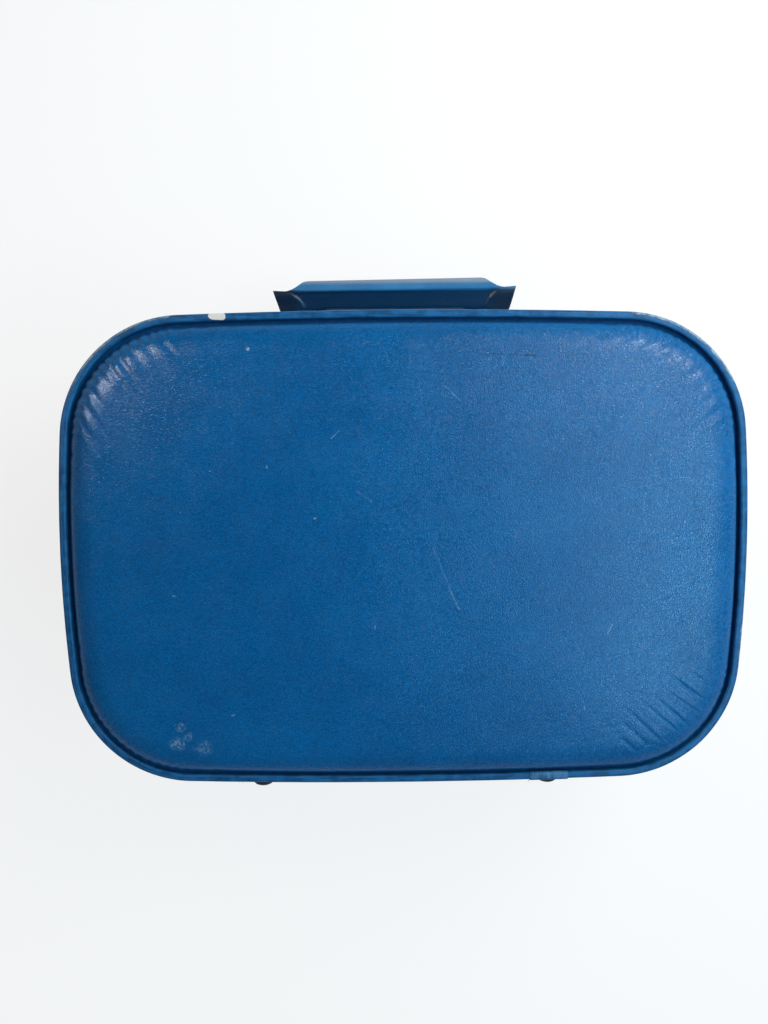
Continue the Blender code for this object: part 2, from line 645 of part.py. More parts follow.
def build_latch(side_name, hand, envelope):
    prefix = "latch_" + side_name
    middle = hand * LATCH_X
    seat = latch_seat()

    def place(across, out, height):
        """Across is away from the case's middle, out is away from the wall."""
        return (middle + hand * across, -(seat + out), height)

    lock_high = BASE_DEPTH - LOCK_DROP
    lock_low = lock_high - LOCK_HEIGHT
    pin_z = BASE_DEPTH + HASP_PIN_HEIGHT
    catch_low = pin_z - HASP_LENGTH + CATCH_RISE
    pocket_low = lock_low + LOCK_SKIN + GAP
    slide_low = pocket_low + SLIDE_GAP
    slide_middle = slide_low + SLIDE_HEIGHT / 2
    slide_back = GAP + SLIDE_GAP
    slide_front = slide_back + SLIDE_THICKNESS
    nose = TONGUE_WIDTH / 2 + SLIDE_GAP
    slide_end = nose + NOSE_WIDTH
    pocket_ends = (slide_end - SLIDE_LENGTH - SLIDE_GAP, LOCK_WIDTH / 2 - LOCK_SKIN - GAP)

    case = block(prefix + "_lock_case", place(-LOCK_WIDTH / 2, -OVERRUN, lock_low),
                 place(LOCK_WIDTH / 2, LOCK_DEPTH, lock_high))
    bevel(case, LOCK_ROUND)
    flange = block(case.name + "_flange", place(-LOCK_FLANGE_WIDTH / 2, -OVERRUN, lock_low + LOCK_SKIN),
                   place(LOCK_FLANGE_WIDTH / 2, LOCK_FLANGE_THICKNESS, lock_low - LOCK_FLANGE_HEIGHT))
    combine(case, flange, "UNION")
    hollow = block(case.name + "_hollow", place(pocket_ends[0], -OVERRUN * 2, pocket_low),
                   place(pocket_ends[1], LOCK_DEPTH - LOCK_SKIN, lock_high - LOCK_SKIN))
    combine(case, hollow)
    mouth = TONGUE_WIDTH / 2 + SLIDE_GAP / 2
    combine(case, block(case.name + "_mouth", place(-mouth, -OVERRUN * 2, catch_low - CATCH_ROOM),
                        place(mouth, LOCK_DEPTH + OVERRUN, lock_high + OVERRUN)))
    stem_left = -STEM_LENGTH
    combine(case, block(case.name + "_button_slot",
                        place(stem_left - SLIDE_GAP, LOCK_SKIN, slide_middle - STEM_HEIGHT / 2 - SLIDE_GAP),
                        place(SLIDE_TRAVEL + SLIDE_GAP, LOCK_DEPTH + OVERRUN,
                              slide_middle + STEM_HEIGHT / 2 + SLIDE_GAP)))
    combine(case, envelope)
    drill(case, lock_rivet(hand), -seat - OVERRUN, -seat + OVERRUN)
    finish(case, prefix + "_lock_case", STEEL, 0.35, 1.0)

    slide = block(prefix + "_slide", place(slide_end - SLIDE_LENGTH, slide_back, slide_low),
                  place(slide_end, slide_front, slide_low + SLIDE_HEIGHT))
    arm = block(slide.name + "_nose", place(nose, slide_back, slide_low + GAP),
                place(slide_end, slide_front, catch_low + CATCH_THICKNESS))
    combine(slide, arm, "UNION")
    stem = block(slide.name + "_stem", place(stem_left, slide_front - GAP, slide_middle - STEM_HEIGHT / 2),
                 place(0, LOCK_DEPTH + BUTTON_DEPTH, slide_middle + STEM_HEIGHT / 2))
    combine(slide, stem, "UNION")
    button_middle = stem_left / 2
    button_back = LOCK_DEPTH + GAP
    button = block(slide.name + "_button",
                   place(button_middle - BUTTON_LENGTH / 2, button_back, slide_middle - BUTTON_HEIGHT / 2),
                   place(button_middle + BUTTON_LENGTH / 2, button_back + BUTTON_DEPTH,
                         slide_middle + BUTTON_HEIGHT / 2))
    bevel(button, BUTTON_ROUND)
    combine(slide, button, "UNION")
    finish(slide, prefix + "_slide", STEEL, 0.3, 1.0)

    spring_y = place(0, slide_back + SLIDE_THICKNESS / 2, 0)[1]
    spring = coil(prefix + "_spring", place(slide_end + GAP + SPRING_WIRE, 0, 0)[0],
                  place(pocket_ends[1] - GAP - SPRING_WIRE, 0, 0)[0], spring_y, slide_middle)
    finish(smooth(spring), prefix + "_spring", STEEL, 0.3, 1.0)

    keeper = block(prefix + "_keeper", place(-KEEPER_WIDTH / 2, -OVERRUN, BASE_DEPTH + SEAM_GAP),
                   place(KEEPER_WIDTH / 2, GAP + KEEPER_THICKNESS, BASE_DEPTH + SEAM_GAP + KEEPER_HEIGHT))
    axis_y = -(seat + HASP_AXIS)
    knuckle = HASP_WIDTH / 2 + KNUCKLE_GAP
    for way in (-1, 1):
        start = middle + way * knuckle
        end = middle + way * (knuckle + KEEPER_KNUCKLE)
        knuckle_rod = rod(keeper.name + "_knuckle", HASP_KNUCKLE_RADIUS, start, end, axis_y, pin_z)
        combine(keeper, knuckle_rod, "UNION")
        half_web = HASP_KNUCKLE_RADIUS * KEEPER_WEB_SHARE
        web = block(keeper.name + "_web", (start, -seat, pin_z - half_web), (end, axis_y, pin_z + half_web))
        combine(keeper, web, "UNION")
    reach = knuckle + KEEPER_KNUCKLE
    combine(keeper, rod(keeper.name + "_bore", HASP_PIN_RADIUS + GAP, middle - reach - OVERRUN,
                        middle + reach + OVERRUN, axis_y, pin_z))
    combine(keeper, envelope)
    drill(keeper, keeper_rivets(hand), -seat - OVERRUN, -seat + OVERRUN)
    finish(keeper, prefix + "_keeper", STEEL, 0.35, 1.0)

    hasp_back = LOCK_DEPTH + HASP_GAP
    hasp = block(prefix + "_hasp", place(-HASP_WIDTH / 2, hasp_back, pin_z - HASP_LENGTH),
                 place(HASP_WIDTH / 2, hasp_back + HASP_THICKNESS, pin_z))
    combine(hasp, rod(hasp.name + "_knuckle", HASP_KNUCKLE_RADIUS, middle - HASP_WIDTH / 2,
                      middle + HASP_WIDTH / 2, axis_y, pin_z), "UNION")
    catch_high = catch_low + CATCH_THICKNESS
    combine(hasp, block(hasp.name + "_catch", place(-TONGUE_WIDTH / 2, hasp_back - CATCH_REACH, catch_low),
                        place(TONGUE_WIDTH / 2, hasp_back + HASP_THICKNESS / 2, catch_high)), "UNION")
    combine(hasp, rod(hasp.name + "_bore", HASP_PIN_RADIUS + GAP, middle - HASP_WIDTH, middle + HASP_WIDTH,
                      axis_y, pin_z))
    finish(hasp, prefix + "_hasp", STEEL, 0.3, 1.0)
    pin(prefix + "_hasp_pin", HASP_PIN_RADIUS, PIN_HEAD_RADIUS, PIN_HEAD,
        middle - reach - GAP, middle + reach + GAP, axis_y, pin_z)

    for (x, z), place_name in zip(keeper_rivets(hand), ("first", "second")):
        rivet("rivet_" + prefix + "_keeper_" + place_name, x, z, seat + GAP + KEEPER_THICKNESS, -1)
    for x, z in lock_rivet(hand):
        rivet("rivet_" + prefix + "_lock_case", x, z, seat + LOCK_FLANGE_THICKNESS, -1)


def handle_seat():
    """The wall at the handle's outer bracket edge."""
    return wall_y(LEG_X)


def bracket_rivets(hand):
    spread = BRACKET_HEIGHT / 2 - BRACKET_MARGIN * 2
    x = HANDLE_OFFSET + hand * LEG_X
    return [(x, HANDLE_LEVEL - spread), (x, HANDLE_LEVEL + spread)]


def mirrored(half):
    """A closed outline from the points of its half on the plus side, given from top to bottom."""
    return half + [(-x, y) for x, y in reversed(half) if x != 0]


def build_grip():
    """The moulded grip: a front view and an end view, extruded through each other."""
    seat = handle_seat()
    slope = HANDLE_HEIGHT - HANDLE_SHOULDER
    tip = HANDLE_LENGTH / 2
    finger_end = tip - FINGER_SETBACK
    flare = (tip - LEG_OUTER) * FLARE_SHARE
    # Shares of the way from ridge to notch, and of the fall to the shoulder
    end_shares = ((-0.60, 0), (0, 0.20), (0.35, 0.62), (1, 1.08))
    front = [(0, HANDLE_HEIGHT)]
    for way_share, fall_share in end_shares:
        front.append((tip - RIDGE_SETBACK + way_share * (RIDGE_SETBACK - NOTCH_SETBACK),
                      HANDLE_HEIGHT - fall_share * slope))
    front += [
        (tip, HANDLE_SHOULDER),
        (LEG_OUTER + flare, LEG_RISE + flare),
        (LEG_OUTER, LEG_RISE),
        (LEG_OUTER, 0),
        (LEG_INNER, 0),
        (LEG_INNER, LEG_RISE),
        (LEG_INNER - flare, LEG_RISE + flare),
        (finger_end, FINGER_ROOM - flare / 3),
        (finger_end - flare * 2, FINGER_ROOM),
        (0, FINGER_ROOM),
    ]
    grip = prism("grip", [(HANDLE_OFFSET + x, -(seat + out)) for x, out in mirrored(front)],
                 HANDLE_LEVEL - GRIP_DEPTH, HANDLE_LEVEL + GRIP_DEPTH)
    rise = FINGER_ROOM - LEG_RISE
    ridge_edge_share, shoulder_share, waist_height_share = 0.08, 0.45, 0.25
    end = [
        (HANDLE_HEIGHT, 0),
        (HANDLE_HEIGHT, RIDGE_DEPTH / 2 * RIDGE_FLAT_SHARE),
        (HANDLE_HEIGHT - slope * ridge_edge_share, RIDGE_DEPTH / 2),
        (HANDLE_SHOULDER, GRIP_DEPTH / 2),
        (HANDLE_SHOULDER - slope * shoulder_share, GRIP_DEPTH / 2),
        (FINGER_ROOM + rise * waist_height_share, WAIST_DEPTH / 2 * WAIST_SHARE),
        (FINGER_ROOM, WAIST_DEPTH / 2),
        (LEG_RISE + rise / 2, (WAIST_DEPTH + LEG_DEPTH) / 4),
        (LEG_RISE, LEG_DEPTH / 2),
    ]
    for i in range(5):
        angle = math.radians(22.5) * i
        end.append((PIVOT_HEIGHT - PIVOT_ROUND * math.sin(angle), PIVOT_ROUND * math.cos(angle)))
    section = end + [(out, -half) for out, half in reversed(end[1:-1])]
    reach = HANDLE_LENGTH / 2 + OVERRUN
    side_view = prism("grip_end_view", [(-(seat + out), HANDLE_LEVEL + half) for out, half in section],
                      HANDLE_OFFSET - reach, HANDLE_OFFSET + reach)
    side_view.matrix_world.identity()
    side_view.location.x = HANDLE_OFFSET
    side_view.rotation_euler = (math.radians(90), 0, math.radians(90))
    combine(grip, side_view, "INTERSECT")
    bevel(grip, GRIP_EDGE, 1)
    combine(grip, rod("grip_bore", HANDLE_PIN_RADIUS + GAP, HANDLE_OFFSET - reach, HANDLE_OFFSET + reach,
                      -(seat + PIVOT_HEIGHT), HANDLE_LEVEL))
    finish(grip, "handle_grip", HANDLE_BLUE, 0.35)


def build_bracket(side_name, hand, envelope):
    seat = handle_seat()
    name = "handle_bracket_" + side_name
    inner = (LEG_INNER - SLIDE_GAP - EAR_THICKNESS, LEG_INNER - SLIDE_GAP)
    outer = (LEG_OUTER + SLIDE_GAP, LEG_OUTER + SLIDE_GAP + EAR_THICKNESS)
    middle = HANDLE_OFFSET

    def across(x):
        return middle + hand * x

    low, high = HANDLE_LEVEL - BRACKET_HEIGHT / 2, HANDLE_LEVEL + BRACKET_HEIGHT / 2
    plate = block(name, (across(inner[0] - BRACKET_MARGIN), -(seat - OVERRUN), low),
                  (across(outer[1] + BRACKET_MARGIN), -(seat + GAP + BRACKET_PLATE), high))
    for ear in (inner, outer):
        start, end = sorted((across(ear[0]), across(ear[1])))
        pivot_y = -(seat + PIVOT_HEIGHT)
        combine(plate, rod(name + "_ear", PIVOT_ROUND, start, end, pivot_y, HANDLE_LEVEL), "UNION")
        half_web = PIVOT_ROUND * EAR_WEB_SHARE
        web = block(name + "_web", (start, -seat, HANDLE_LEVEL - half_web),
                    (end, pivot_y, HANDLE_LEVEL + half_web))
        combine(plate, web, "UNION")
    start, end = sorted((across(inner[0]), across(outer[1])))
    combine(plate, rod(name + "_bore", HANDLE_PIN_RADIUS + GAP, start - OVERRUN, end + OVERRUN,
                       -(seat + PIVOT_HEIGHT), HANDLE_LEVEL))
    combine(plate, envelope)
    drill(plate, bracket_rivets(hand), -seat - OVERRUN, -seat + OVERRUN)
    finish(plate, name, STEEL, 0.35, 1.0)
    pin("handle_pin_" + side_name, HANDLE_PIN_RADIUS, HANDLE_PIN_RADIUS + PIN_HEAD, PIN_HEAD,
        start - GAP, end + GAP, -(seat + PIVOT_HEIGHT), HANDLE_LEVEL)
    for (x, z), place in zip(bracket_rivets(hand), ("low", "high")):
        rivet("rivet_" + name + "_" + place, x, z, seat + GAP + BRACKET_PLATE, -1)


def build_foot(name, x, z, envelope):
    """A domed stud on the long wall that the case stands on."""
    seat = wall_y(x)
    profile = [(0, FOOT_HEIGHT)]
    for i in range(4):
        angle = math.radians(30) * i
        profile.append((FOOT_RADIUS - FOOT_ROUND + FOOT_ROUND * math.sin(angle),
                        FOOT_HEIGHT - FOOT_ROUND + FOOT_ROUND * math.cos(angle)))
    profile += [(FOOT_RADIUS, -OVERRUN), (0, -OVERRUN)]
    foot = turned(name, profile)
    foot.location = (x, seat, z)
    foot.rotation_euler = (math.radians(-90), 0, 0)
    combine(foot, envelope)
    finish(smooth(foot), name, DARK_RUBBER, 0.6)


def build():
    clear_scene()
    collection("suitcase")
    collection("cutters")
    envelope = prism("wall_envelope", outline(WALL_INSET - GAP), -OVERRUN, CASE_DEPTH + OVERRUN)
    base_holes = []
    lid_holes = []
    for hand in (-1, 1):
        base_holes.append((hinge_rivets(hand, -1), 1))
        lid_holes.append((hinge_rivets(hand, 1), 1))
        base_holes.append((lock_rivet(hand) + bracket_rivets(hand), -1))
        lid_holes.append((keeper_rivets(hand), -1))
    build_base(base_holes)
    build_lid(lid_holes)
    base_foot_z = RIM_LIFT + RIM_DEPTH + SEAM_GAP + FOOT_RADIUS
    lid_foot_z = CASE_DEPTH - RIM_DEPTH - SEAM_GAP - FOOT_RADIUS
    for side_name, hand in (("left", -1), ("right", 1)):
        build_hinge(side_name, hand, envelope)
        build_latch(side_name, hand, envelope)
        build_bracket(side_name, hand, envelope)
        build_foot("foot_base_" + side_name, hand * FOOT_SPACING / 2, base_foot_z, envelope)
        build_foot("foot_lid_" + side_name, hand * FOOT_SPACING / 2, lid_foot_z, envelope)
    build_grip()


build()
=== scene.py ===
# A small padded suitcase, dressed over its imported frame.
# Metres, +Z up. The case lies on its back, with the handle on the -Y side.

import math
import random

import bmesh
import bpy
from mathutils import Euler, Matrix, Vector, noise


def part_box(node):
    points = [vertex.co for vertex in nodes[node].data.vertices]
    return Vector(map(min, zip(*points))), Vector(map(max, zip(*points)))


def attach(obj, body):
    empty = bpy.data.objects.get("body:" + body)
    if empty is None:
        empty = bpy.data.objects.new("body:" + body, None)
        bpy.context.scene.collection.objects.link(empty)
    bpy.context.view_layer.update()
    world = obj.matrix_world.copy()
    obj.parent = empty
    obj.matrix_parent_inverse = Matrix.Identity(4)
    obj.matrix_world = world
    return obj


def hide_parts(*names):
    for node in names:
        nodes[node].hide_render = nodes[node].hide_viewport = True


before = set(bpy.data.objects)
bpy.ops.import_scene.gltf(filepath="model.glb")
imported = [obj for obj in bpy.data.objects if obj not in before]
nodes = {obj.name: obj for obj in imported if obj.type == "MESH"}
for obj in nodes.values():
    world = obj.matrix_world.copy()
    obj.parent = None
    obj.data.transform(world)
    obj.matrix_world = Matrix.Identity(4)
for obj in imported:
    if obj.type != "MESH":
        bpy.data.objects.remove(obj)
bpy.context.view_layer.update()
print("frame loaded:", len(nodes), "nodes")


# Camera
view = {
    "place": (0.01518, -0.06282, 0.58990),
    "turn": (-4.9379, -0.4515, 179.4897),   # degrees
    "lens": 27.07,
}


def buildCamera():
    lens = bpy.data.cameras.new("photoCamera")
    lens.lens = view["lens"]
    lens.sensor_width = 36
    lens.clip_start = 0.01
    lens.clip_end = 20
    camera = bpy.data.objects.new("photoCamera", lens)
    camera.location = view["place"]
    camera.rotation_euler = Euler([math.radians(angle) for angle in view["turn"]])
    bpy.context.scene.collection.objects.link(camera)
    bpy.context.scene.camera = camera


buildCamera()
print("camera placed")


# Node helpers for the finishes

def make(tree, kind, inputs=None, **settings):
    node = tree.nodes.new(kind)
    for name, value in settings.items():
        setattr(node, name, value)
    for name, value in (inputs or {}).items():
        if isinstance(value, bpy.types.NodeSocket):
            tree.links.new(value, node.inputs[name])
        else:
            node.inputs[name].default_value = value
    return node


def calc(tree, operation, first, second=0.0, third=0.0, clamp=False):
    node = make(tree, "ShaderNodeMath", {0: first, 1: second, 2: third}, operation=operation)
    node.use_clamp = clamp
    return node.outputs[0]


def fade(tree, value, low, high, start=0.0, end=1.0):
    # A smooth step from start to end while value goes from low to high
    return make(tree, "ShaderNodeMapRange", {"Value": value, "From Min": low, "From Max": high,
                                             "To Min": start, "To Max": end},
                interpolation_type="SMOOTHSTEP").outputs["Result"]


def mixColours(tree, share, first, second):
    # Each colour is three numbers, or another node's output
    first, second = [(*colour, 1) if isinstance(colour, tuple) else colour for colour in (first, second)]
    return make(tree, "ShaderNodeMix", {0: share, 6: first, 7: second}, data_type="RGBA").outputs[2]


def mixNumbers(tree, share, first, second):
    return make(tree, "ShaderNodeMix", {0: share, 2: first, 3: second}, data_type="FLOAT").outputs[0]


def vectors(tree, operation, first, second):
    return make(tree, "ShaderNodeVectorMath", {0: first, 1: second}, operation=operation).outputs[0]


def stretched(tree, place, scale):
    return vectors(tree, "MULTIPLY", place, scale)


def axesOf(tree, place):
    return make(tree, "ShaderNodeSeparateXYZ", {0: place}).outputs


def cloudy(tree, place, scale, detail=2.0, roughness=0.5, distortion=0.0, output="Fac"):
    return make(tree, "ShaderNodeTexNoise", {
        "Vector": place, "Scale": scale, "Detail": detail, "Roughness": roughness,
        "Distortion": distortion}).outputs[output]


def newFinish(name, roughness, metallic=0.0):
    finish = bpy.data.materials.new(name)
    finish.use_nodes = True
    tree = finish.node_tree
    shader = tree.nodes["Principled BSDF"]
    shader.inputs["Roughness"].default_value = roughness
    shader.inputs["Metallic"].default_value = metallic
    place = tree.nodes.new("ShaderNodeTexCoord").outputs["Object"]
    return finish, tree, shader, place


def paint(tree, shader, colour, roughness=None, specular=None):
    tree.links.new(colour, shader.inputs["Base Color"])
    if roughness is not None:
        tree.links.new(roughness, shader.inputs["Roughness"])
    if specular is not None:
        shader.inputs["Specular IOR Level"].default_value = specular


def emboss(tree, shader, height, depth):
    bump = make(tree, "ShaderNodeBump", {"Height": height, "Distance": depth, "Strength": 1.0})
    tree.links.new(bump.outputs["Normal"], shader.inputs["Normal"])


def strokeMask(tree, place, start, end, width, wander=0.0):
    # 1 on a thin stroke between two points of the lid's face, fading out at its sides
    flat = stretched(tree, place, (1, 1, 0))
    if wander:
        drift = cloudy(tree, flat, 120.0, output="Color")
        flat = vectors(tree, "ADD", flat, stretched(tree, drift, (wander, wander, 0)))
        start, end = [(x + wander / 2, y + wander / 2) for x, y in (start, end)]
    run = Vector((end[0] - start[0], end[1] - start[1], 0))
    offset = vectors(tree, "SUBTRACT", flat, (*start, 0))
    along = make(tree, "ShaderNodeVectorMath", {0: offset, 1: run / run.length_squared},
                 operation="DOT_PRODUCT").outputs["Value"]
    along = calc(tree, "ADD", along, 0.0, clamp=True)
    nearest = make(tree, "ShaderNodeVectorMath", {0: tuple(run), "Scale": along},
                   operation="SCALE").outputs[0]
    gap = make(tree, "ShaderNodeVectorMath", {0: offset, 1: nearest}, operation="DISTANCE").outputs["Value"]
    return fade(tree, gap, width * 0.3, width, 1.0, 0.0)


# Finishes

vinyl = {
    "colour": (0.0010, 0.110, 0.306),
    "deepColour": (0.0006, 0.097, 0.278),
    "creaseShade": 0.71,      # painted shade in the grain's creases, and painted light on the raised pebbles
    "scuffColour": (0.36, 0.50, 0.60),
    "darkMarkColour": (0.002, 0.012, 0.03),
    "roughness": 0.23,
    "specular": 0.42,
    "pebbleScale": 780,       # about 1.4 mm from crease to crease
    "pebbleWarp": 0.0016,
    "wrinkleScale": 900,
    "fineScale": 2000,
    "grainDepth": 0.00013,
}

# Marks on the padded face: where they start and end, how wide and how strong
marks = {
    "pale": [
        ((-0.0160, -0.0038), (-0.0257, 0.0196), 0.00040, 0.14),
        ((-0.0250, 0.0190), (-0.0309, 0.0320), 0.00048, 0.30),
        ((0.0372, -0.0712), (0.0418, -0.0667), 0.00045, 0.24),
        ((-0.0231, -0.0965), (-0.0315, -0.0881), 0.00045, 0.20),
        ((0.0274, -0.0370), (0.0189, -0.0306), 0.00045, 0.16),
        ((0.0882, -0.1180), (0.0884, -0.1177), 0.00120, 0.80),
        ((0.0784, -0.0517), (0.0784, -0.0507), 0.00070, 0.35),
        ((0.0510, -0.0218), (0.0514, -0.0213), 0.00085, 0.34),
        ((0.0179, 0.0415), (0.0179, 0.0428), 0.00060, 0.24),
        ((-0.1049, 0.0918), (-0.1051, 0.0930), 0.00065, 0.45),
        ((-0.1177, 0.0477), (-0.1205, 0.0424), 0.00045, 0.38),
        ((0.1342, 0.0227), (0.1330, 0.0230), 0.00075, 0.28),
        ((0.1021, 0.0948), (0.1010, 0.0944), 0.00080, 0.24),
    ],
    "dark": [((-0.0485, -0.1142), (-0.0767, -0.1128), 0.00055, 0.75)],
    # Soft smudges: middle, width and strength
    "smudges": [((0.1340, 0.1115), 0.0050, 0.40), ((0.1321, 0.1010), 0.0026, 0.30),
                ((0.1276, 0.1068), 0.0030, 0.30), ((0.1190, 0.1140), 0.0060, 0.22)],
}


def vinylGrain(tree, place):
    # The grain's height, and how far each spot is out of the creases
    warp = cloudy(tree, place, vinyl["pebbleScale"] * 0.6, output="Color")
    bent = vectors(tree, "ADD", place, stretched(tree, warp, (vinyl["pebbleWarp"],) * 3))
    pebbles = make(tree, "ShaderNodeTexVoronoi", {"Vector": bent, "Scale": vinyl["pebbleScale"],
                                                  "Randomness": 1.0}, feature="DISTANCE_TO_EDGE")
    gap = pebbles.outputs["Distance"]
    creases = calc(tree, "MULTIPLY_ADD", gap, 0.5, fade(tree, gap, 0.0, 0.22, 0.0, 0.40))
    # Towards one short side the creases run along the case
    wrinkles = cloudy(tree, stretched(tree, place, (0.35, 1, 1)), vinyl["wrinkleScale"], 2.0, 0.6, 0.4)
    lean = fade(tree, axesOf(tree, place)[0], -0.05, 0.12)
    fine = cloudy(tree, place, vinyl["fineScale"], 2.0, 0.6)
    height = calc(tree, "MULTIPLY_ADD", fine, 0.10, creases)
    height = mixNumbers(tree, lean, height, calc(tree, "MULTIPLY_ADD", height, 0.45, wrinkles))
    return height, calc(tree, "MULTIPLY_ADD", wrinkles, 0.5, calc(tree, "MULTIPLY", creases, 0.7))


def scatteredSpecks(tree, place, scale, size):
    # Small stray specks: one in a few cells, at a random size
    cells = make(tree, "ShaderNodeTexVoronoi", {"Vector": place, "Scale": scale, "Randomness": 1.0})
    chosen = make(tree, "ShaderNodeSeparateColor", {0: cells.outputs["Color"]})
    reach = fade(tree, chosen.outputs[0], 0.86, 1.0, 0.0, size)
    return calc(tree, "LESS_THAN", cells.outputs["Distance"], reach)


def vinylFinish(name, marked):
    finish, tree, shader, place = newFinish(name, vinyl["roughness"])
    patches = cloudy(tree, place, 22, 3.0, 0.55)
    colour = mixColours(tree, fade(tree, patches, 0.35, 0.65), vinyl["deepColour"], vinyl["colour"])
    height, paintedGrainShading = vinylGrain(tree, place)
    # Painted shade and painted light: the colour is darker in the grain's creases and lighter on the raised
    # pebbles
    shade = vinyl["creaseShade"]
    paintedGrainShading = fade(tree, paintedGrainShading, 0.22, 0.82, shade, 1.92 - shade)
    colour = make(tree, "ShaderNodeVectorMath", {0: colour, "Scale": paintedGrainShading}, operation="SCALE").outputs[0]
    wear = calc(tree, "MULTIPLY", scatteredSpecks(tree, place, 90, 0.035), 0.35)
    if marked:
        broken = fade(tree, cloudy(tree, place, 260, 2.0), 0.35, 0.6, 0.45, 1.0)
        for start, end, width, strength in marks["pale"]:
            stroke = strokeMask(tree, place, start, end, width, 0.0018)
            stroke = calc(tree, "MULTIPLY", stroke, calc(tree, "MULTIPLY", broken, strength))
            wear = calc(tree, "MAXIMUM", wear, stroke)
        smear = fade(tree, cloudy(tree, place, 420, 4.0, 0.7), 0.40, 0.66)
        for middle, width, strength in marks["smudges"]:
            smudge = strokeMask(tree, place, middle, (middle[0] + 0.002, middle[1] + 0.001), width, 0.006)
            smudge = calc(tree, "MULTIPLY", smudge, calc(tree, "MULTIPLY", smear, strength))
            wear = calc(tree, "MAXIMUM", wear, smudge)
    colour = mixColours(tree, wear, colour, vinyl["scuffColour"])
    if marked:
        for start, end, width, strength in marks["dark"]:
            stroke = calc(tree, "MULTIPLY", strokeMask(tree, place, start, end, width, 0.0010), strength)
            stroke = calc(tree, "MULTIPLY", stroke, fade(tree, cloudy(tree, place, 400), 0.4, 0.5))
            colour = mixColours(tree, stroke, colour, vinyl["darkMarkColour"])
    sheen = fade(tree, cloudy(tree, place, 60, 3.0, 0.6), 0.3, 0.7, vinyl["roughness"] - 0.03,
                 vinyl["roughness"] + 0.05)
    paint(tree, shader, colour, calc(tree, "MULTIPLY_ADD", wear, 0.3, sheen), vinyl["specular"])
    emboss(tree, shader, height, vinyl["grainDepth"])
    return finish


binding = {
    "colour": (0.006, 0.112, 0.285),
    "deepColour": (0.002, 0.055, 0.150),
    "wornColour": (0.22, 0.30, 0.34),
    "chipColour": (0.72, 0.66, 0.60),
    "roughness": 0.42,
    "specular": 0.26,
    "grainDepth": 0.00018,
    "wornReach": 0.0024,
    "chipWidth": 0.0036,
}


def bindingFinish(name, worn):
    # UV runs along the binding and round its section, both in metres
    finish, tree, shader, place = newFinish(name, binding["roughness"])
    along = tree.nodes.new("ShaderNodeUVMap").outputs[0]
    streaks = cloudy(tree, stretched(tree, along, (60, 900, 1)), 1.0, 3.0, 0.6)
    patches = cloudy(tree, place, 160, 4.0, 0.65)
    tone = calc(tree, "MULTIPLY_ADD", streaks, 0.5, calc(tree, "MULTIPLY", patches, 0.5))
    colour = mixColours(tree, fade(tree, tone, 0.38, 0.60), binding["deepColour"], binding["colour"])
    rough = cloudy(tree, place, 420, 4.0, 0.7)
    if worn:
        gap = calc(tree, "ABSOLUTE", calc(tree, "SUBTRACT", axesOf(tree, along)[1], worn["line"]))
        edge = fade(tree, gap, 0.0003, binding["wornReach"], 1.0, 0.0)
        x, y = axesOf(tree, place)[:2]
        # The abrasion is strongest at the two corners on the handle's side, and faint low on the right
        cornerX = fade(tree, calc(tree, "ABSOLUTE", x), 0.100, 0.145)
        cornerY = fade(tree, y, -0.105, -0.070, 1.0, 0.0)
        rightSide = calc(tree, "MULTIPLY", fade(tree, x, -0.202, -0.190, 0.85, 0.0),
                         fade(tree, y, -0.01, 0.05))
        spread = calc(tree, "MAXIMUM", calc(tree, "MULTIPLY", cornerX, cornerY), rightSide)
        spread = calc(tree, "MAXIMUM", spread, 0.12)
        amount = calc(tree, "MULTIPLY", edge, spread)
        broad = cloudy(tree, place, 130, 3.0, 0.6)
        ragged = calc(tree, "MULTIPLY_ADD", rough, 0.6, calc(tree, "MULTIPLY", broad, 0.8))
        scraped = fade(tree, calc(tree, "MULTIPLY_ADD", amount, 0.55, ragged), 1.06, 1.32)
        scraped = calc(tree, "MULTIPLY", scraped, fade(tree, amount, 0.05, 0.35))
        chipped = strokeMask(tree, place, worn["chipStart"], worn["chipEnd"], binding["chipWidth"], 0.003)
        chipped = fade(tree, calc(tree, "MULTIPLY_ADD", rough, 0.7, chipped), 0.80, 0.92)
        colour = mixColours(tree, scraped, colour, binding["wornColour"])
        colour = mixColours(tree, chipped, colour, binding["chipColour"])
    paint(tree, shader, colour, fade(tree, tone, 0.3, 0.7, 0.34, 0.52), binding["specular"])
    height = calc(tree, "MULTIPLY_ADD", cloudy(tree, place, 1400), 0.4, rough)
    emboss(tree, shader, height, binding["grainDepth"])
    return finish


plastic = {
    "colour": (0.018, 0.165, 0.370), "deepColour": (0.010, 0.135, 0.315),
    "sunkPanelShade": (0.002, 0.031, 0.082),      # painted shade on the face below the shoulder and its sunk panels
    "bossShade": (0.006, 0.021, 0.050),
    "ridgeWearAndHighlightColour": (0.21, 0.27, 0.33),       # the ridge is painted pale: rubbed wear and a painted highlight
    "speckColour": (0.35, 0.45, 0.50),
    "roughness": 0.34, "grainDepth": 0.00012,
}


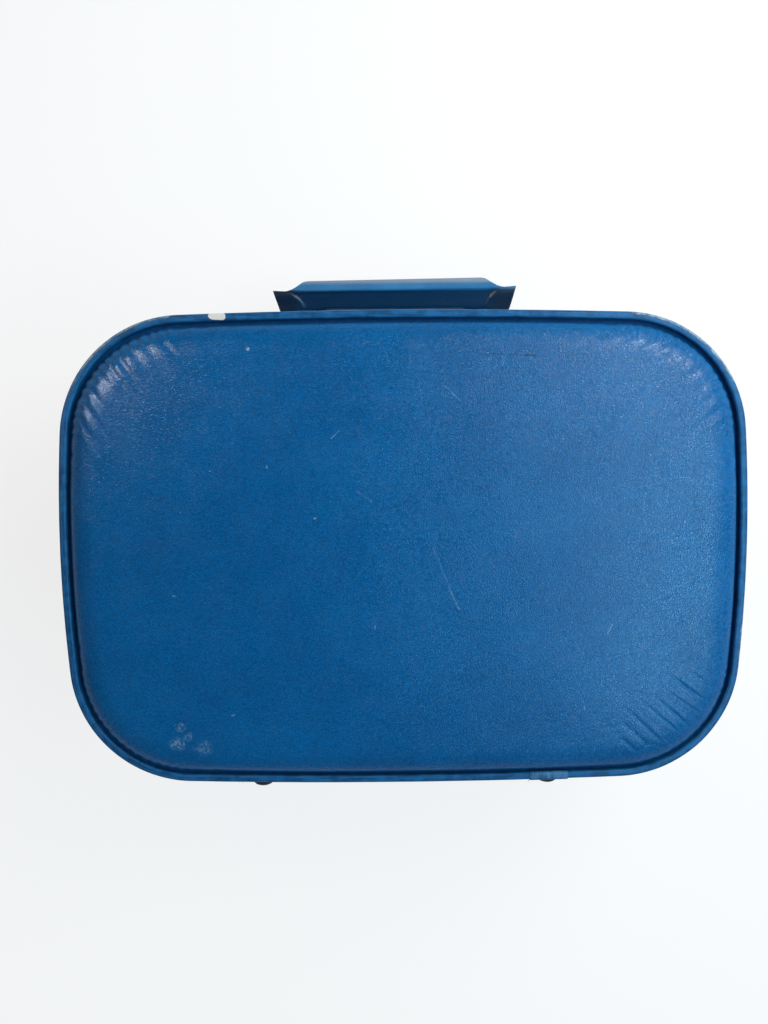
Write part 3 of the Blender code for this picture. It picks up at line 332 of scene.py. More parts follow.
def plasticFinish(ridgeY, shoulderY):
    finish, tree, shader, place = newFinish("mouldedPlastic", plastic["roughness"])
    patches = cloudy(tree, place, 70, 4.0, 0.6)
    colour = mixColours(tree, fade(tree, patches, 0.35, 0.7), plastic["deepColour"], plastic["colour"])
    x, outward = axesOf(tree, place)[:2]
    worn = cloudy(tree, stretched(tree, place, (0.3, 1, 1)), 420, 4.0, 0.65)
    # Painted shade: the face below the shoulder, with its sunk panels, is painted dark
    sunk = fade(tree, outward, shoulderY + 0.0004, shoulderY + 0.0022)
    colour = mixColours(tree, sunk, colour, plastic["sunkPanelShade"])
    # Painted shade: the two end bosses below the shoulder are painted darker
    aside = calc(tree, "ABSOLUTE", calc(tree, "SUBTRACT", x, handle["offset"]))
    end = calc(tree, "MULTIPLY", fade(tree, aside, 0.060, 0.070),
               fade(tree, outward, shoulderY - 0.0002, shoulderY + 0.0016))
    colour = mixColours(tree, end, colour, plastic["bossShade"])
    # A pale band along the ridge: rubbed wear and a painted highlight
    ridgeWearAndHighlight = fade(tree, calc(tree, "MULTIPLY_ADD", worn, 0.0012, outward), ridgeY + 0.0016,
                  ridgeY + 0.0052, 0.95, 0.0)
    colour = mixColours(tree, ridgeWearAndHighlight, colour, plastic["ridgeWearAndHighlightColour"])
    specks = scatteredSpecks(tree, place, 260, 0.10)
    colour = mixColours(tree, calc(tree, "MULTIPLY", specks, 0.25), colour, plastic["speckColour"])
    hairlines = cloudy(tree, stretched(tree, place, (0.08, 1, 1)), 900, 3.0, 0.6)
    paint(tree, shader, colour, fade(tree, hairlines, 0.3, 0.7, 0.28, 0.44))
    emboss(tree, shader, calc(tree, "MULTIPLY_ADD", hairlines, 0.3, patches), plastic["grainDepth"])
    return finish


fittings = {
    "steelColour": (0.72, 0.70, 0.65), "tarnishColour": (0.44, 0.40, 0.34), "pitColour": (0.16, 0.12, 0.09),
    "rubberColour": (0.012, 0.014, 0.017), "rubberDustColour": (0.055, 0.058, 0.060),
    "boardColour": (0.13, 0.085, 0.050), "paleBoardColour": (0.26, 0.180, 0.110),
}


def steelFinish():
    finish, tree, shader, place = newFinish("platedSteel", 0.24, 1.0)
    brushed = cloudy(tree, stretched(tree, place, (0.12, 1, 1)), 2200, 3.0, 0.65)
    tarnish = cloudy(tree, place, 230, 5.0, 0.7)
    colour = mixColours(tree, fade(tree, tarnish, 0.42, 0.72), fittings["steelColour"],
                        fittings["tarnishColour"])
    pits = scatteredSpecks(tree, place, 700, 0.16)
    colour = mixColours(tree, calc(tree, "MULTIPLY", pits, 0.6), colour, fittings["pitColour"])
    rough = calc(tree, "MULTIPLY_ADD", fade(tree, tarnish, 0.4, 0.75), 0.22, 0.16)
    paint(tree, shader, colour, calc(tree, "MULTIPLY_ADD", brushed, 0.12, rough))
    emboss(tree, shader, brushed, 0.00002)
    return finish


def rubberFinish():
    finish, tree, shader, place = newFinish("darkRubber", 0.62)
    dust = cloudy(tree, place, 380, 4.0, 0.7)
    paint(tree, shader, mixColours(tree, fade(tree, dust, 0.45, 0.75), fittings["rubberColour"],
                                   fittings["rubberDustColour"]))
    emboss(tree, shader, cloudy(tree, place, 1800), 0.00006)
    return finish


def boardFinish():
    finish, tree, shader, place = newFinish("fibreboard", 0.82)
    fibres = cloudy(tree, stretched(tree, place, (1, 4, 4)), 500, 4.0, 0.7)
    patches = cloudy(tree, place, 35, 3.0)
    tone = calc(tree, "MULTIPLY_ADD", fibres, 0.6, calc(tree, "MULTIPLY", patches, 0.4))
    paint(tree, shader, mixColours(tree, fade(tree, tone, 0.35, 0.65), fittings["boardColour"],
                                   fittings["paleBoardColour"]))
    emboss(tree, shader, fibres, 0.00015)
    return finish


def clothFinish(name, colour, shade, threadScale):
    # A plain weave drawn by two crossing waves in UV, so it follows the folds
    finish, tree, shader, place = newFinish(name, 0.62)
    along = tree.nodes.new("ShaderNodeUVMap").outputs[0]
    warp = make(tree, "ShaderNodeTexWave", {"Vector": along, "Scale": threadScale}, bands_direction="X")
    weft = make(tree, "ShaderNodeTexWave", {"Vector": along, "Scale": threadScale}, bands_direction="Y")
    weave = calc(tree, "MAXIMUM", warp.outputs["Fac"], weft.outputs["Fac"])
    slub = cloudy(tree, stretched(tree, along, (40, 900, 1)), 1.0, 3.0, 0.6)
    tone = calc(tree, "MULTIPLY_ADD", weave, 0.35, calc(tree, "MULTIPLY", slub, 0.65))
    paint(tree, shader, mixColours(tree, fade(tree, tone, 0.25, 0.75), shade, colour))
    shader.inputs["Sheen Weight"].default_value = 0.35
    shader.inputs["Sheen Roughness"].default_value = 0.4
    emboss(tree, shader, calc(tree, "MULTIPLY_ADD", slub, 0.4, weave), 0.00012)
    return finish


print("finishes ready")


# The case's outline: three kinds of arc that touch each other smoothly
outline = {
    "length": 0.406, "width": 0.2814, "sideBow": 0.0110, "longBow": 0.0050, "cornerRadius": 0.073,
    "cornerSteps": 150, "sideSteps": 36, "longSteps": 64,
}


def outlineRays():
    # Each ray is an arc's centre, its radius and the ray's angle
    halfLength, halfWidth = outline["length"] / 2, outline["width"] / 2
    sideRadius = (halfWidth ** 2 + outline["sideBow"] ** 2) / (2 * outline["sideBow"])
    longRadius = (halfLength ** 2 + outline["longBow"] ** 2) / (2 * outline["longBow"])
    corner = outline["cornerRadius"]
    sideCentre, longCentre = Vector((halfLength - sideRadius, 0)), Vector((0, halfWidth - longRadius))
    across = longCentre - sideCentre
    sideReach, longReach = sideRadius - corner, longRadius - corner
    along = (sideReach ** 2 - longReach ** 2 + across.length_squared) / (2 * across.length)
    aside = math.sqrt(sideReach ** 2 - along ** 2)
    unit = across.normalized()
    cornerCentre = sideCentre + along * unit + aside * Vector((-unit.y, unit.x))
    first = math.atan2(cornerCentre.y - sideCentre.y, cornerCentre.x - sideCentre.x)
    last = math.atan2(cornerCentre.y - longCentre.y, cornerCentre.x - longCentre.x)
    rays = []
    for back in (0, math.pi):
        turn = -1 if back else 1
        stretches = [
            (sideCentre * turn, sideRadius, -first, first, outline["sideSteps"]),
            (cornerCentre * turn, corner, first, last, outline["cornerSteps"]),
            (longCentre * turn, longRadius, last, math.pi - last, outline["longSteps"]),
            (Vector((-cornerCentre.x, cornerCentre.y)) * turn, corner, math.pi - last, math.pi - first,
             outline["cornerSteps"]),
        ]
        for centre, radius, start, end, steps in stretches:
            for i in range(steps):
                angle = back + start + (end - start) * i / steps
                rays.append((centre, radius, Vector((math.cos(angle), math.sin(angle)))))
    return rays


rays = outlineRays()


def outlineLoop(inset, height):
    return [Vector((*(centre + (radius - inset) * way), height)) for centre, radius, way in rays]


def skin(name, loops, closeAcross=False, capFirst=False, capLast=False):
    # Joins loops of points into a skin, with UV in metres along the loops and across them
    count = len(loops[0])
    points = [point for loop in loops for point in loop]
    along = [0.0]
    middle = loops[len(loops) // 2]
    for i in range(count):
        along.append(along[-1] + (middle[(i + 1) % count] - middle[i]).length)
    rows = len(loops) + (1 if closeAcross else 0)
    across = [0.0]
    for i in range(1, rows):
        across.append(across[-1] + (loops[i % len(loops)][0] - loops[i - 1][0]).length)
    faces, corners = [], []
    for row in range(rows - 1):
        upper = (row + 1) % len(loops)
        for i in range(count):
            j = (i + 1) % count
            faces.append((row * count + i, row * count + j, upper * count + j, upper * count + i))
            corners += [(along[i], across[row]), (along[i + 1], across[row]),
                        (along[i + 1], across[row + 1]), (along[i], across[row + 1])]
    for wanted, row in ((capFirst, 0), (capLast, len(loops) - 1)):
        if wanted:
            faces.append(tuple(row * count + i for i in range(count)))
            corners += [(point.x, point.y) for point in loops[row]]
    return meshPiece(name, points, faces, corners)


def smoothShade(mesh, angle):
    mesh.shade_smooth()
    mesh.set_sharp_from_angle(angle=math.radians(angle))


def meshPiece(name, points, faces, corners=None):
    mesh = bpy.data.meshes.new(name)
    mesh.from_pydata(points, [], faces)
    if corners:
        layer = mesh.uv_layers.new(name="UVMap")
        for spot, corner in zip(layer.data, corners):
            spot.uv = corner
    shell = bmesh.new()
    shell.from_mesh(mesh)
    bmesh.ops.recalc_face_normals(shell, faces=shell.faces)
    shell.to_mesh(mesh)
    shell.free()
    smoothShade(mesh, 40)
    piece = bpy.data.objects.new(name, mesh)
    bpy.context.scene.collection.objects.link(piece)
    return piece


def dress(piece, finish, body):
    piece.data.materials.append(finish)
    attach(piece, body)


def thicken(piece, thickness):
    cloth = piece.modifiers.new("clothThickness", "SOLIDIFY")
    cloth.thickness = thickness
    cloth.offset = 0


def quarterRound(steps, first=0):
    # How far a rounded edge draws in and how far short it is, over a quarter turn
    for i in range(first, steps + 1):
        angle = math.pi / 2 * i / steps
        yield 1 - math.cos(angle), 1 - math.sin(angle)


def smoothStep(value, low, high):
    share = min(1.0, max(0.0, (value - low) / (high - low)))
    return share * share * (3 - 2 * share)


# Padded cover of the lid
padding = {
    "foot": 0.1364, "edgeInset": 0.0072, "tuck": 0.0010, "bulge": 0.0022,
    "rollWidth": 0.0185, "rollHeight": 0.0078, "rollPower": 2.1,
    "crown": 0.0054, "crownPower": 2.5, "crownSquareness": 4.0,
    "foldPitch": 0.0082,
    "gatherPitch": 0.0060, "gatherWidth": 0.0016, "gatherDepth": 0.0007, "gatherReach": 0.010,
    "unevenness": 0.00022,
    "flatEnd": 0.054, "flatStep": 0.0008,     # how far in the fine rows of the mesh go
    "tuckSteps": 5, "rollSteps": 36, "innerSteps": 56,
}
# Folds at each corner, by the signs of its x and y: their valleys, the ridges beside them, how far in they
# start and end, and how they lean and fan
cornerFolds = {
    (1, -1): {"depth": 0.00046, "width": 0.0019, "ridge": 0.55, "start": 0.002, "reach": 0.034,
              "fade": 0.022, "taper": 0.13, "lean": 0.115, "fan": -0.016, "gather": 1.0},
    (-1, -1): {"depth": 0.00030, "width": 0.0019, "ridge": 0.45, "start": 0.003, "reach": 0.053,
               "fade": 0.034, "taper": 0.08, "lean": -0.105, "fan": -0.016, "gather": 0.9},
    (-1, 1): {"depth": 0.00044, "width": 0.0010, "ridge": 0.18, "start": 0.008, "reach": 0.052,
              "fade": 0.026, "taper": 0.05, "lean": -0.100, "fan": 0.020, "gather": 0.35},
    (1, 1): {"depth": 0.00022, "width": 0.0018, "ridge": 0.30, "start": 0.004, "reach": 0.045,
             "fade": 0.026, "taper": 0.05, "lean": 0.0, "fan": 0.0, "gather": 0.7},
}
cornerMiddle = (0.1274, 0.0657)


def crownHeight(x, y):
    halfLength = outline["length"] / 2 - padding["edgeInset"]
    halfWidth = outline["width"] / 2 - padding["edgeInset"]
    power = padding["crownSquareness"]
    reach = (abs(x / halfLength) ** power + abs(y / halfWidth) ** power) ** (1 / power)
    return padding["crown"] * (1 - min(1.05, reach) ** padding["crownPower"])


def makeFolds():
    # Each fold at a corner: its place across the corner's diagonal, tilt, depth, start and end
    draw = random.Random(7)
    folds = {}
    for corner, shape in cornerFolds.items():
        folds[corner] = []
        for i in range(-7, 8):
            folds[corner].append({
                "place": (i + draw.uniform(-0.20, 0.20)) * padding["foldPitch"],
                "tilt": shape["lean"] + shape["fan"] * i + draw.uniform(-0.05, 0.05),
                "depth": draw.uniform(0.5, 1.0) * max(0.2, 1 - shape["taper"] * abs(i)) * shape["depth"],
                "width": shape["width"] * draw.uniform(0.8, 1.25),
                "start": shape["start"] + draw.uniform(0, 0.003),
                "end": shape["reach"] - draw.uniform(0, 0.012),
                "bend": draw.uniform(-2.0, 2.0),
            })
    return folds


def cornerAt(x, y):
    return (1 if x > 0 else -1, 1 if y > 0 else -1)


def foldDepthAt(x, y, inset, folds):
    signs = cornerAt(x, y)
    offsetX, offsetY = x - signs[0] * cornerMiddle[0], y - signs[1] * cornerMiddle[1]
    outward = (offsetX * signs[0] + offsetY * signs[1]) / math.sqrt(2)
    aside = (offsetY * signs[1] - offsetX * signs[0]) / math.sqrt(2)
    depth = 0.0
    shape = cornerFolds[signs]
    for fold in folds[signs]:
        away = aside - fold["place"] - fold["tilt"] * (outward - 0.04) - fold["bend"] * (outward - 0.04) ** 2
        width = fold["width"]
        if abs(away) > width * 4.5:
            continue
        reach = smoothStep(inset, fold["start"], fold["start"] + 0.005)
        reach *= 1 - smoothStep(inset, fold["end"] - shape["fade"], fold["end"])
        # A valley between two low broad ridges
        depth += fold["depth"] * reach * (math.exp(-(away / width) ** 2) - shape["ridge"]
                                          * math.exp(-((abs(away) - 2.2 * width) / (1.2 * width)) ** 2))
    return depth


def buildPadding():
    loops, insets = [], []
    for i in range(padding["tuckSteps"]):
        share = i / padding["tuckSteps"]
        inset = padding["edgeInset"] + padding["tuck"] * (1 - math.sin(share * math.pi / 2))
        insets.append((inset, share * padding["bulge"]))
    for i in range(padding["rollSteps"] + 1):
        angle = math.pi / 2 * i / padding["rollSteps"]
        across = 1 - math.cos(angle) ** (2 / padding["rollPower"])
        up = math.sin(angle) ** (2 / padding["rollPower"])
        insets.append((padding["edgeInset"] + across * padding["rollWidth"],
                       padding["bulge"] + up * padding["rollHeight"]))
    flat = padding["bulge"] + padding["rollHeight"]
    inset = insets[-1][0]
    while inset < padding["flatEnd"]:
        inset += padding["flatStep"]
        insets.append((inset, flat))
    for inset, rise in insets:
        loops.append([Vector((p.x, p.y, padding["foot"] + rise + crownHeight(p.x, p.y)
                              * smoothStep(rise, 0.0, padding["bulge"] * 2)))
                      for p in outlineLoop(inset, 0)])
    edge = loops[-1]
    for i in range(1, padding["innerSteps"]):
        share = 1 - i / padding["innerSteps"]
        loops.append([Vector((p.x * share, p.y * share,
                              padding["foot"] + flat + crownHeight(p.x * share, p.y * share))) for p in edge])
        insets.append((1, flat))
    piece = skin("lidPadding", loops, capFirst=True, capLast=True)
    mesh = piece.data
    normals = [vertex.normal.copy() for vertex in mesh.vertices]
    count = len(loops[0])
    folds = makeFolds()
    arc = [0.0]
    for i in range(1, count):
        arc.append(arc[-1] + (loops[0][i] - loops[0][i - 1]).length)
    for row, (inset, rise) in enumerate(insets):
        edgeGap = inset - padding["edgeInset"]
        for i in range(count):
            vertex = mesh.vertices[row * count + i]
            x, y = vertex.co.x, vertex.co.y
            shift = noise.noise((x * 17, y * 17, 3.1)) * padding["unevenness"]
            shift += noise.noise((x * 55, y * 55, 8.4)) * padding["unevenness"] * 0.35
            shift *= smoothStep(rise, 0.001, 0.006)
            if inset < 0.06:
                shift -= foldDepthAt(x, y, edgeGap, folds)
                corner = smoothStep(min(abs(x) - cornerMiddle[0] + 0.030, abs(y) - cornerMiddle[1] + 0.030),
                                    0.0, 0.024)
                if corner > 0 and edgeGap < padding["gatherReach"]:
                    shape = cornerFolds[cornerAt(x, y)]
                    wobble = noise.noise((x * 90, y * 90, 1.7))
                    turns = arc[i] / padding["gatherPitch"] + wobble * 0.35
                    away = (turns - round(turns)) * padding["gatherPitch"]
                    fadeIn = 1 - smoothStep(edgeGap, padding["gatherReach"] * 0.2, padding["gatherReach"])
                    shift -= math.exp(-(away / padding["gatherWidth"]) ** 2) * corner * fadeIn \
                        * padding["gatherDepth"] * shape["gather"] * (0.8 + wobble * 0.5)
            vertex.co += normals[row * count + i] * shift
    mesh.update()
    dress(piece, vinylFinish("paddedVinyl", True), "lid")
    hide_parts("lid_padded_cover")


buildPadding()
print("padded cover built")


# Rim bindings and the strip at the foot of the groove
rim = {
    "width": 0.0046, "depth": 0.0070, "cap": 0.0036, "side": 0.0023, "round": 0.0018, "edge": 0.0008,
    "innerRound": 0.0013, "unevenness": 0.00010,
    "lidFace": 0.140, "backFace": 0.0004,     # where the outermost face of each binding lies
    "wornLine": 0.0072,                       # the section's length at the upper outer edge
}


def rimSection(face, inward):
    # Inset and height round the binding's section, from the wall's outer face over the top
    points = [(rim["edge"], rim["depth"]), (0.0, rim["depth"] - rim["edge"])]
    for drawn, short in quarterRound(8):
        points.append((rim["round"] * drawn, rim["round"] * short))
    for drawn, short in quarterRound(8):
        points.append((rim["width"] - rim["innerRound"] * short, rim["innerRound"] * drawn))
    points += [(rim["width"], rim["cap"]), (rim["side"], rim["cap"]), (rim["side"], rim["depth"])]
    return [(inset, face + inward * depth) for inset, depth in points]


def buildRim(name, node, body, face, inward, worn):
    section = rimSection(face, inward)
    loops = [outlineLoop(inset, height) for inset, height in section]
    for loop, (inset, height) in zip(loops, section):
        if inset > rim["side"] + 0.0005 and abs(height - face) >= rim["cap"]:
            continue
        for point, (centre, radius, way) in zip(loop, rays):
            shift = noise.noise((point.x * 45, point.y * 45, inset * 300)) * rim["unevenness"]
            point.x -= way.x * abs(shift)
            point.y -= way.y * abs(shift)
    piece = skin(name, loops, closeAcross=True)
    dress(piece, bindingFinish(name + "Finish", worn), body)
    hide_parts(node)


lidWorn = {"line": rim["wornLine"], "chipStart": (0.1038, -0.1374), "chipEnd": (0.1096, -0.1380)}
buildRim("lidBinding", "lid_rim", "lid", rim["lidFace"], -1, lidWorn)
buildRim("backBinding", "base_rim", "base", rim["backFace"], 1, None)

# The strip is painted a darker blue than the cover's vinyl: painted shade at the foot of the groove. Its dust
# is paler
grooveFloor = {
    "low": 0.13613, "high": 0.13636, "outer": 0.00475, "inner": 0.0094,
    "colour": (0.0005, 0.040, 0.140), "dustColour": (0.002, 0.060, 0.180), "specular": 0.15,
}


def buildGrooveFloor():
    low, high = grooveFloor["low"], grooveFloor["high"]
    outer, inner = grooveFloor["outer"], grooveFloor["inner"]
    loops = [outlineLoop(*corner) for corner in ((outer, low), (outer, high), (inner, high), (inner, low))]
    piece = skin("grooveLining", loops, closeAcross=True)
    finish, tree, shader, place = newFinish("grooveVinyl", 0.7)
    dust = cloudy(tree, place, 260, 4.0, 0.7)
    colour = mixColours(tree, fade(tree, dust, 0.4, 0.75), grooveFloor["colour"], grooveFloor["dustColour"])
    paint(tree, shader, colour, specular=grooveFloor["specular"])
    emboss(tree, shader, dust, 0.0001)
    dress(piece, finish, "lid")


buildGrooveFloor()
print("bindings built")


# Vinyl on the walls and the back
walls = {
    "outer": 0.0026, "inner": 0.0056, "edgeRound": 0.0007,
    "baseLow": 0.0043, "baseHigh": 0.09175, "lidLow": 0.09225, "lidHigh": 0.1361,
}


def buildWall(name, node, body, low, high, finish):
    section = [(walls["inner"], low), (walls["outer"], low)]
    steps = 24
    for i in range(1, steps):
        section.append((walls["outer"], low + (high - low) * i / steps))
    section += [(walls["outer"], high - walls["edgeRound"]),
                (walls["outer"] + walls["edgeRound"] * 0.3, high - walls["edgeRound"] * 0.3),
                (walls["outer"] + walls["edgeRound"], high), (walls["inner"], high)]
    if body == "lid":   # the rounded edge is at the parting line on both halves
        section = [(inset, low + high - height) for inset, height in section]
    piece = skin(name, [outlineLoop(*corner) for corner in section], closeAcross=True)
    dress(piece, finish, body)
    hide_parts(node)


plainVinyl = vinylFinish("wallVinyl", False)
buildWall("baseWallVinyl", "base_side_wall", "base", walls["baseLow"], walls["baseHigh"], plainVinyl)
buildWall("lidWallVinyl", "lid_side_wall", "lid", walls["lidLow"], walls["lidHigh"], plainVinyl)

backCover = {"inset": 0.0072, "low": 0.0, "high": 0.0040, "round": 0.0016}


def buildBackCover():
    loops = [outlineLoop(backCover["inset"], backCover["high"])]
    for drawn, short in quarterRound(6):
        loops.append(outlineLoop(backCover["inset"] + backCover["round"] * drawn,
                                 backCover["low"] + backCover["round"] * short))
    piece = skin("backVinyl", loops, capFirst=True, capLast=True)
    dress(piece, plainVinyl, "base")
    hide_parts("base_back_cover")


buildBackCover()
print("walls and back built")


# Handle
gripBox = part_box("handle_grip")
handle = {
    "offset": 0.003, "level": 0.055, "length": 0.162, "top": 0.0368, "shoulder": 0.0296,
    "fingerRoom": 0.0168, "fingerEnd": 0.052, "legRise": 0.0134, "legMiddle": 0.06975, "legWidth": 0.0095,
    "flare": 0.0029, "depth": 0.022, "ridgeHalf": 0.0052, "underEdge": 0.0020,
    "legHalf": 0.0054, "pivot": 0.007, "pivotRound": 0.005, "bossReach": (0.0192, 0.0165),
    "slant": 0.0011,         # the bar has settled a little lower at one end
}
handleWall = -gripBox[0].y - handle["top"]


def handleTop(x):
    tip, top = handle["length"] / 2, handle["top"]
    knots = [(0, top), (tip - 0.0236, top), (tip - 0.0212, top - 0.0003), (tip - 0.0190, top - 0.0013),
             (tip - 0.0156, top - 0.0042), (tip - 0.0125, top - 0.0064), (tip - 0.0100, top - 0.0074),
             (tip - 0.0080, top - 0.0077), (tip - 0.004, top - 0.0075), (tip, handle["shoulder"])]
    return alongKnots(knots, x)


def handleBottom(x):
    tip = handle["length"] / 2
    inner, outer = handle["legMiddle"] - handle["legWidth"] / 2, handle["legMiddle"] + handle["legWidth"] / 2
    rise, flare, room = handle["legRise"], handle["flare"], handle["fingerRoom"]
    if inner <= x <= outer:
        return handle["pivot"] - handle["pivotRound"]
    knots = [(0, room), (handle["fingerEnd"] - 2 * flare, room), (handle["fingerEnd"], room - flare / 3),
             (inner - flare, rise + flare), (inner, rise), (outer, rise), (outer + flare, rise + flare),
             (tip, handle["shoulder"] - 0.0003)]
    return alongKnots(knots, x)


def alongKnots(knots, x):
    for (x0, y0), (x1, y1) in zip(knots, knots[1:]):
        if x <= x1:
            return y0 + (y1 - y0) * (x - x0) / (x1 - x0)
    return knots[-1][1]


def handleHalfDepth(x, out):
    # Half of the grip's depth, with a sunk panel on each side between the two rounded bosses
    half = handle["depth"] / 2
    if out >= handle["shoulder"]:
        share = (out - handle["shoulder"]) / (handle["top"] - handle["shoulder"])
        plain = half + (handle["ridgeHalf"] - half) * share
        corner = 0.0006
        if out > handle["top"] - corner:
            rounding = 1 - (out - handle["top"] + corner) / corner
            plain -= corner * (1 - math.sqrt(max(0, 1 - (1 - rounding) ** 2)))
        return plain
    bossKnots = [(0.002, 0.0), (handle["legRise"], handle["legHalf"]), (0.0162, 0.0062), (0.0204, 0.0080),
                 (0.0240, 0.0100), (0.0262, half), (handle["shoulder"], half)]
    panelKnots = [(0.002, 0.0), (handle["legRise"], 0.0046), (handle["fingerRoom"], 0.0056), (0.0225, 0.0078),
                  (0.0255, 0.0091), (0.0272, 0.0099), (0.0282, half - 0.0003), (0.0287, half),
                  (handle["shoulder"], half)]
    boss, panel = alongKnots(bossKnots, out), alongKnots(panelKnots, out)
    if out < handle["pivot"]:
        drop = handle["pivot"] - out
        return math.sqrt(max(0.0, handle["pivotRound"] ** 2 - drop ** 2))
    if out < handle["legRise"]:
        share = (out - handle["pivot"]) / (handle["legRise"] - handle["pivot"])
        return handle["pivotRound"] + (handle["legHalf"] - handle["pivotRound"]) * share
    tip = handle["length"] / 2
    reachX, reachOut = handle["bossReach"]
    away = math.hypot((tip - 0.002 - x) / reachX, (out - handle["legRise"]) / reachOut)
    share = smoothStep(away, 0.94, 1.06)
    return boss + (panel - boss) * share


def buildHandle():
    tip = handle["length"] / 2
    inner, outer = handle["legMiddle"] - handle["legWidth"] / 2, handle["legMiddle"] + handle["legWidth"] / 2
    hair = 0.00002
    stations = {0.0, inner - hair, inner, outer, outer + hair}
    for knot in (tip - 0.0236, tip - 0.0190, tip - 0.0156, tip - 0.0100, tip, handle["fingerEnd"]):
        stations.add(knot)
    for i in range(1, 60):
        stations.add(tip * math.sin(math.pi / 2 * i / 60))
    xs = sorted(stations)
    xs = [-x for x in reversed(xs) if x > 0] + xs
    levels = [0.0368, 0.03672, 0.03655, 0.0364, 0.0362, 0.0356, 0.0348, 0.0340, 0.0332, 0.0324, 0.0316,
              0.0308, 0.0302, 0.0297, 0.0295, 0.0291, 0.0287, 0.0282, 0.0277, 0.0272, 0.0264, 0.0255,
              0.0248, 0.0240, 0.0231, 0.0225, 0.0215, 0.0205, 0.0199, 0.0193, 0.0190, 0.0184, 0.0176,
              0.0168, 0.0160, 0.0150, 0.0140, 0.0134, 0.0110, 0.0090, 0.0070, 0.0055, 0.0042, 0.0032,
              0.0025, 0.0020]
    loops = []
    for x in xs:
        top, bottom = handleTop(abs(x)), handleBottom(abs(x))
        if top - bottom < 0.0002:
            bottom = top - 0.0002
        above = sum(1 for level in levels if level >= top)
        below = sum(1 for level in levels if level <= bottom)
        half = []
        for i, level in enumerate(levels):
            if level >= top:
                width = handleHalfDepth(abs(x), top) * i / max(1, above - 1) if above > 1 else \
                    handleHalfDepth(abs(x), top)
                half.append((top, width))
            elif level <= bottom:
                place = len(levels) - 1 - i
                width = handleHalfDepth(abs(x), bottom) * place / max(1, below - 1)
                half.append((bottom, width))
            else:
                width = handleHalfDepth(abs(x), level)
                edge = handle["underEdge"]
                if level < bottom + edge and bottom > handle["pivot"]:   # the underside's edges are rounded
                    share = (bottom + edge - level) / edge
                    width -= edge * (1 - math.sqrt(max(0.0, 1 - share ** 2)))
                half.append((level, width))
        half = [(top, 0.0)] + half + [(bottom, 0.0)]
        ring = half + [(out, -width) for out, width in reversed(half[1:-1])]
        settled = handle["slant"] * x / tip
        loops.append([Vector((handle["offset"] + x,
                              -(handleWall + out - settled * smoothStep(out, 0.0175, 0.030)),
                              handle["level"] + width)) for out, width in ring])
    piece = skin("handleMoulding", loops, capFirst=True, capLast=True)
    shell = bmesh.new()
    shell.from_mesh(piece.data)
    bmesh.ops.remove_doubles(shell, verts=shell.verts, dist=0.00001)
    bmesh.ops.dissolve_degenerate(shell, dist=0.00001, edges=shell.edges)
    bmesh.ops.recalc_face_normals(shell, faces=shell.faces)
    shell.to_mesh(piece.data)
    shell.free()
    smoothShade(piece.data, 28)
    finish = plasticFinish(-(handleWall + handle["top"]), -(handleWall + handle["shoulder"]))
    dress(piece, finish, "handle")
    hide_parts("handle_grip")


buildHandle()
print("handle built")


# Linings and the lid's pocket
lining = {
    "thickness": 0.0003, "baseInset": 0.0087, "baseFloor": 0.0076, "baseLip": 0.0865,
    "lidInset": 0.0076, "lidFloor": 0.1328, "lidLip": 0.09225,
    "ruck": 0.0006, "draft": 0.0004, "turn": 0.003, "floorInset": 0.030,
    "colour": (0.42, 0.50, 0.56), "shade": (0.27, 0.34, 0.41), "threadScale": 420,
}
liningCloth = clothFinish("liningCloth", lining["colour"], lining["shade"], lining["threadScale"])


def buildLining(name, node, body, inset, floor, lip):
    # One sheet: down the wall, round the foot and over the floor
    up = 1 if lip > floor else -1
    draft, turn, floorInset = lining["draft"], lining["turn"], lining["floorInset"]
    loops = []
    wallSteps = 14
    for i in range(wallSteps):
        share = i / wallSteps
        height = lip + (floor + up * turn - lip) * share
        loops.append(outlineLoop(inset + draft, height))
    for drawn, short in quarterRound(5):
        loops.append(outlineLoop(inset + draft + turn * drawn, floor + up * (turn * short + draft)))
    edge = outlineLoop(floorInset, floor + up * draft)
    for i in range(6):
        loops.append(outlineLoop(inset + draft + turn + (floorInset - inset - turn) * (i + 1) / 6,
                                 floor + up * draft))
    for i in range(1, 24):
        share = 1 - i / 24
        loops.append([Vector((p.x * share, p.y * share, p.z)) for p in edge])
    for row, loop in enumerate(loops):
        for point in loop:
            if row > wallSteps + 5:
                ruck = noise.noise((point.x * 30, point.y * 60, 5.0 + floor)) + \
                    0.6 * noise.noise((point.x * 90, point.y * 50, 2.0 + floor))
                point.z += up * lining["ruck"] * (0.5 + ruck) * 0.8
            elif 0 < row <= wallSteps:
                ruck = noise.noise((point.x * 60, point.y * 60, point.z * 30))
                point.x *= 1 - 0.0018 * max(0, ruck)
                point.y *= 1 - 0.0018 * max(0, ruck)
    piece = skin(name, loops, capLast=True)
    thicken(piece, lining["thickness"])
    dress(piece, liningCloth, body)
    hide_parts(node)


buildLining("baseLiningCloth", "base_lining", "base", lining["baseInset"], lining["baseFloor"],
            lining["baseLip"])
buildLining("lidLiningCloth", "lid_lining", "lid", lining["lidInset"], lining["lidFloor"],
            lining["lidLip"])

pocket = {
    "length": 0.300, "width": 0.130, "setback": 0.030, "round": 0.030, "ceiling": 0.1316,
    "swell": 0.0060, "ruffle": 0.0016, "ruffles": 46, "thickness": 0.0006, "hem": 0.0007,
    "flatLength": 0.42, "flatHem": 0.010, "columns": 368, "rows": 48,
    "colour": (0.46, 0.54, 0.60), "shade": (0.28, 0.35, 0.42), "threadScale": 380,
}


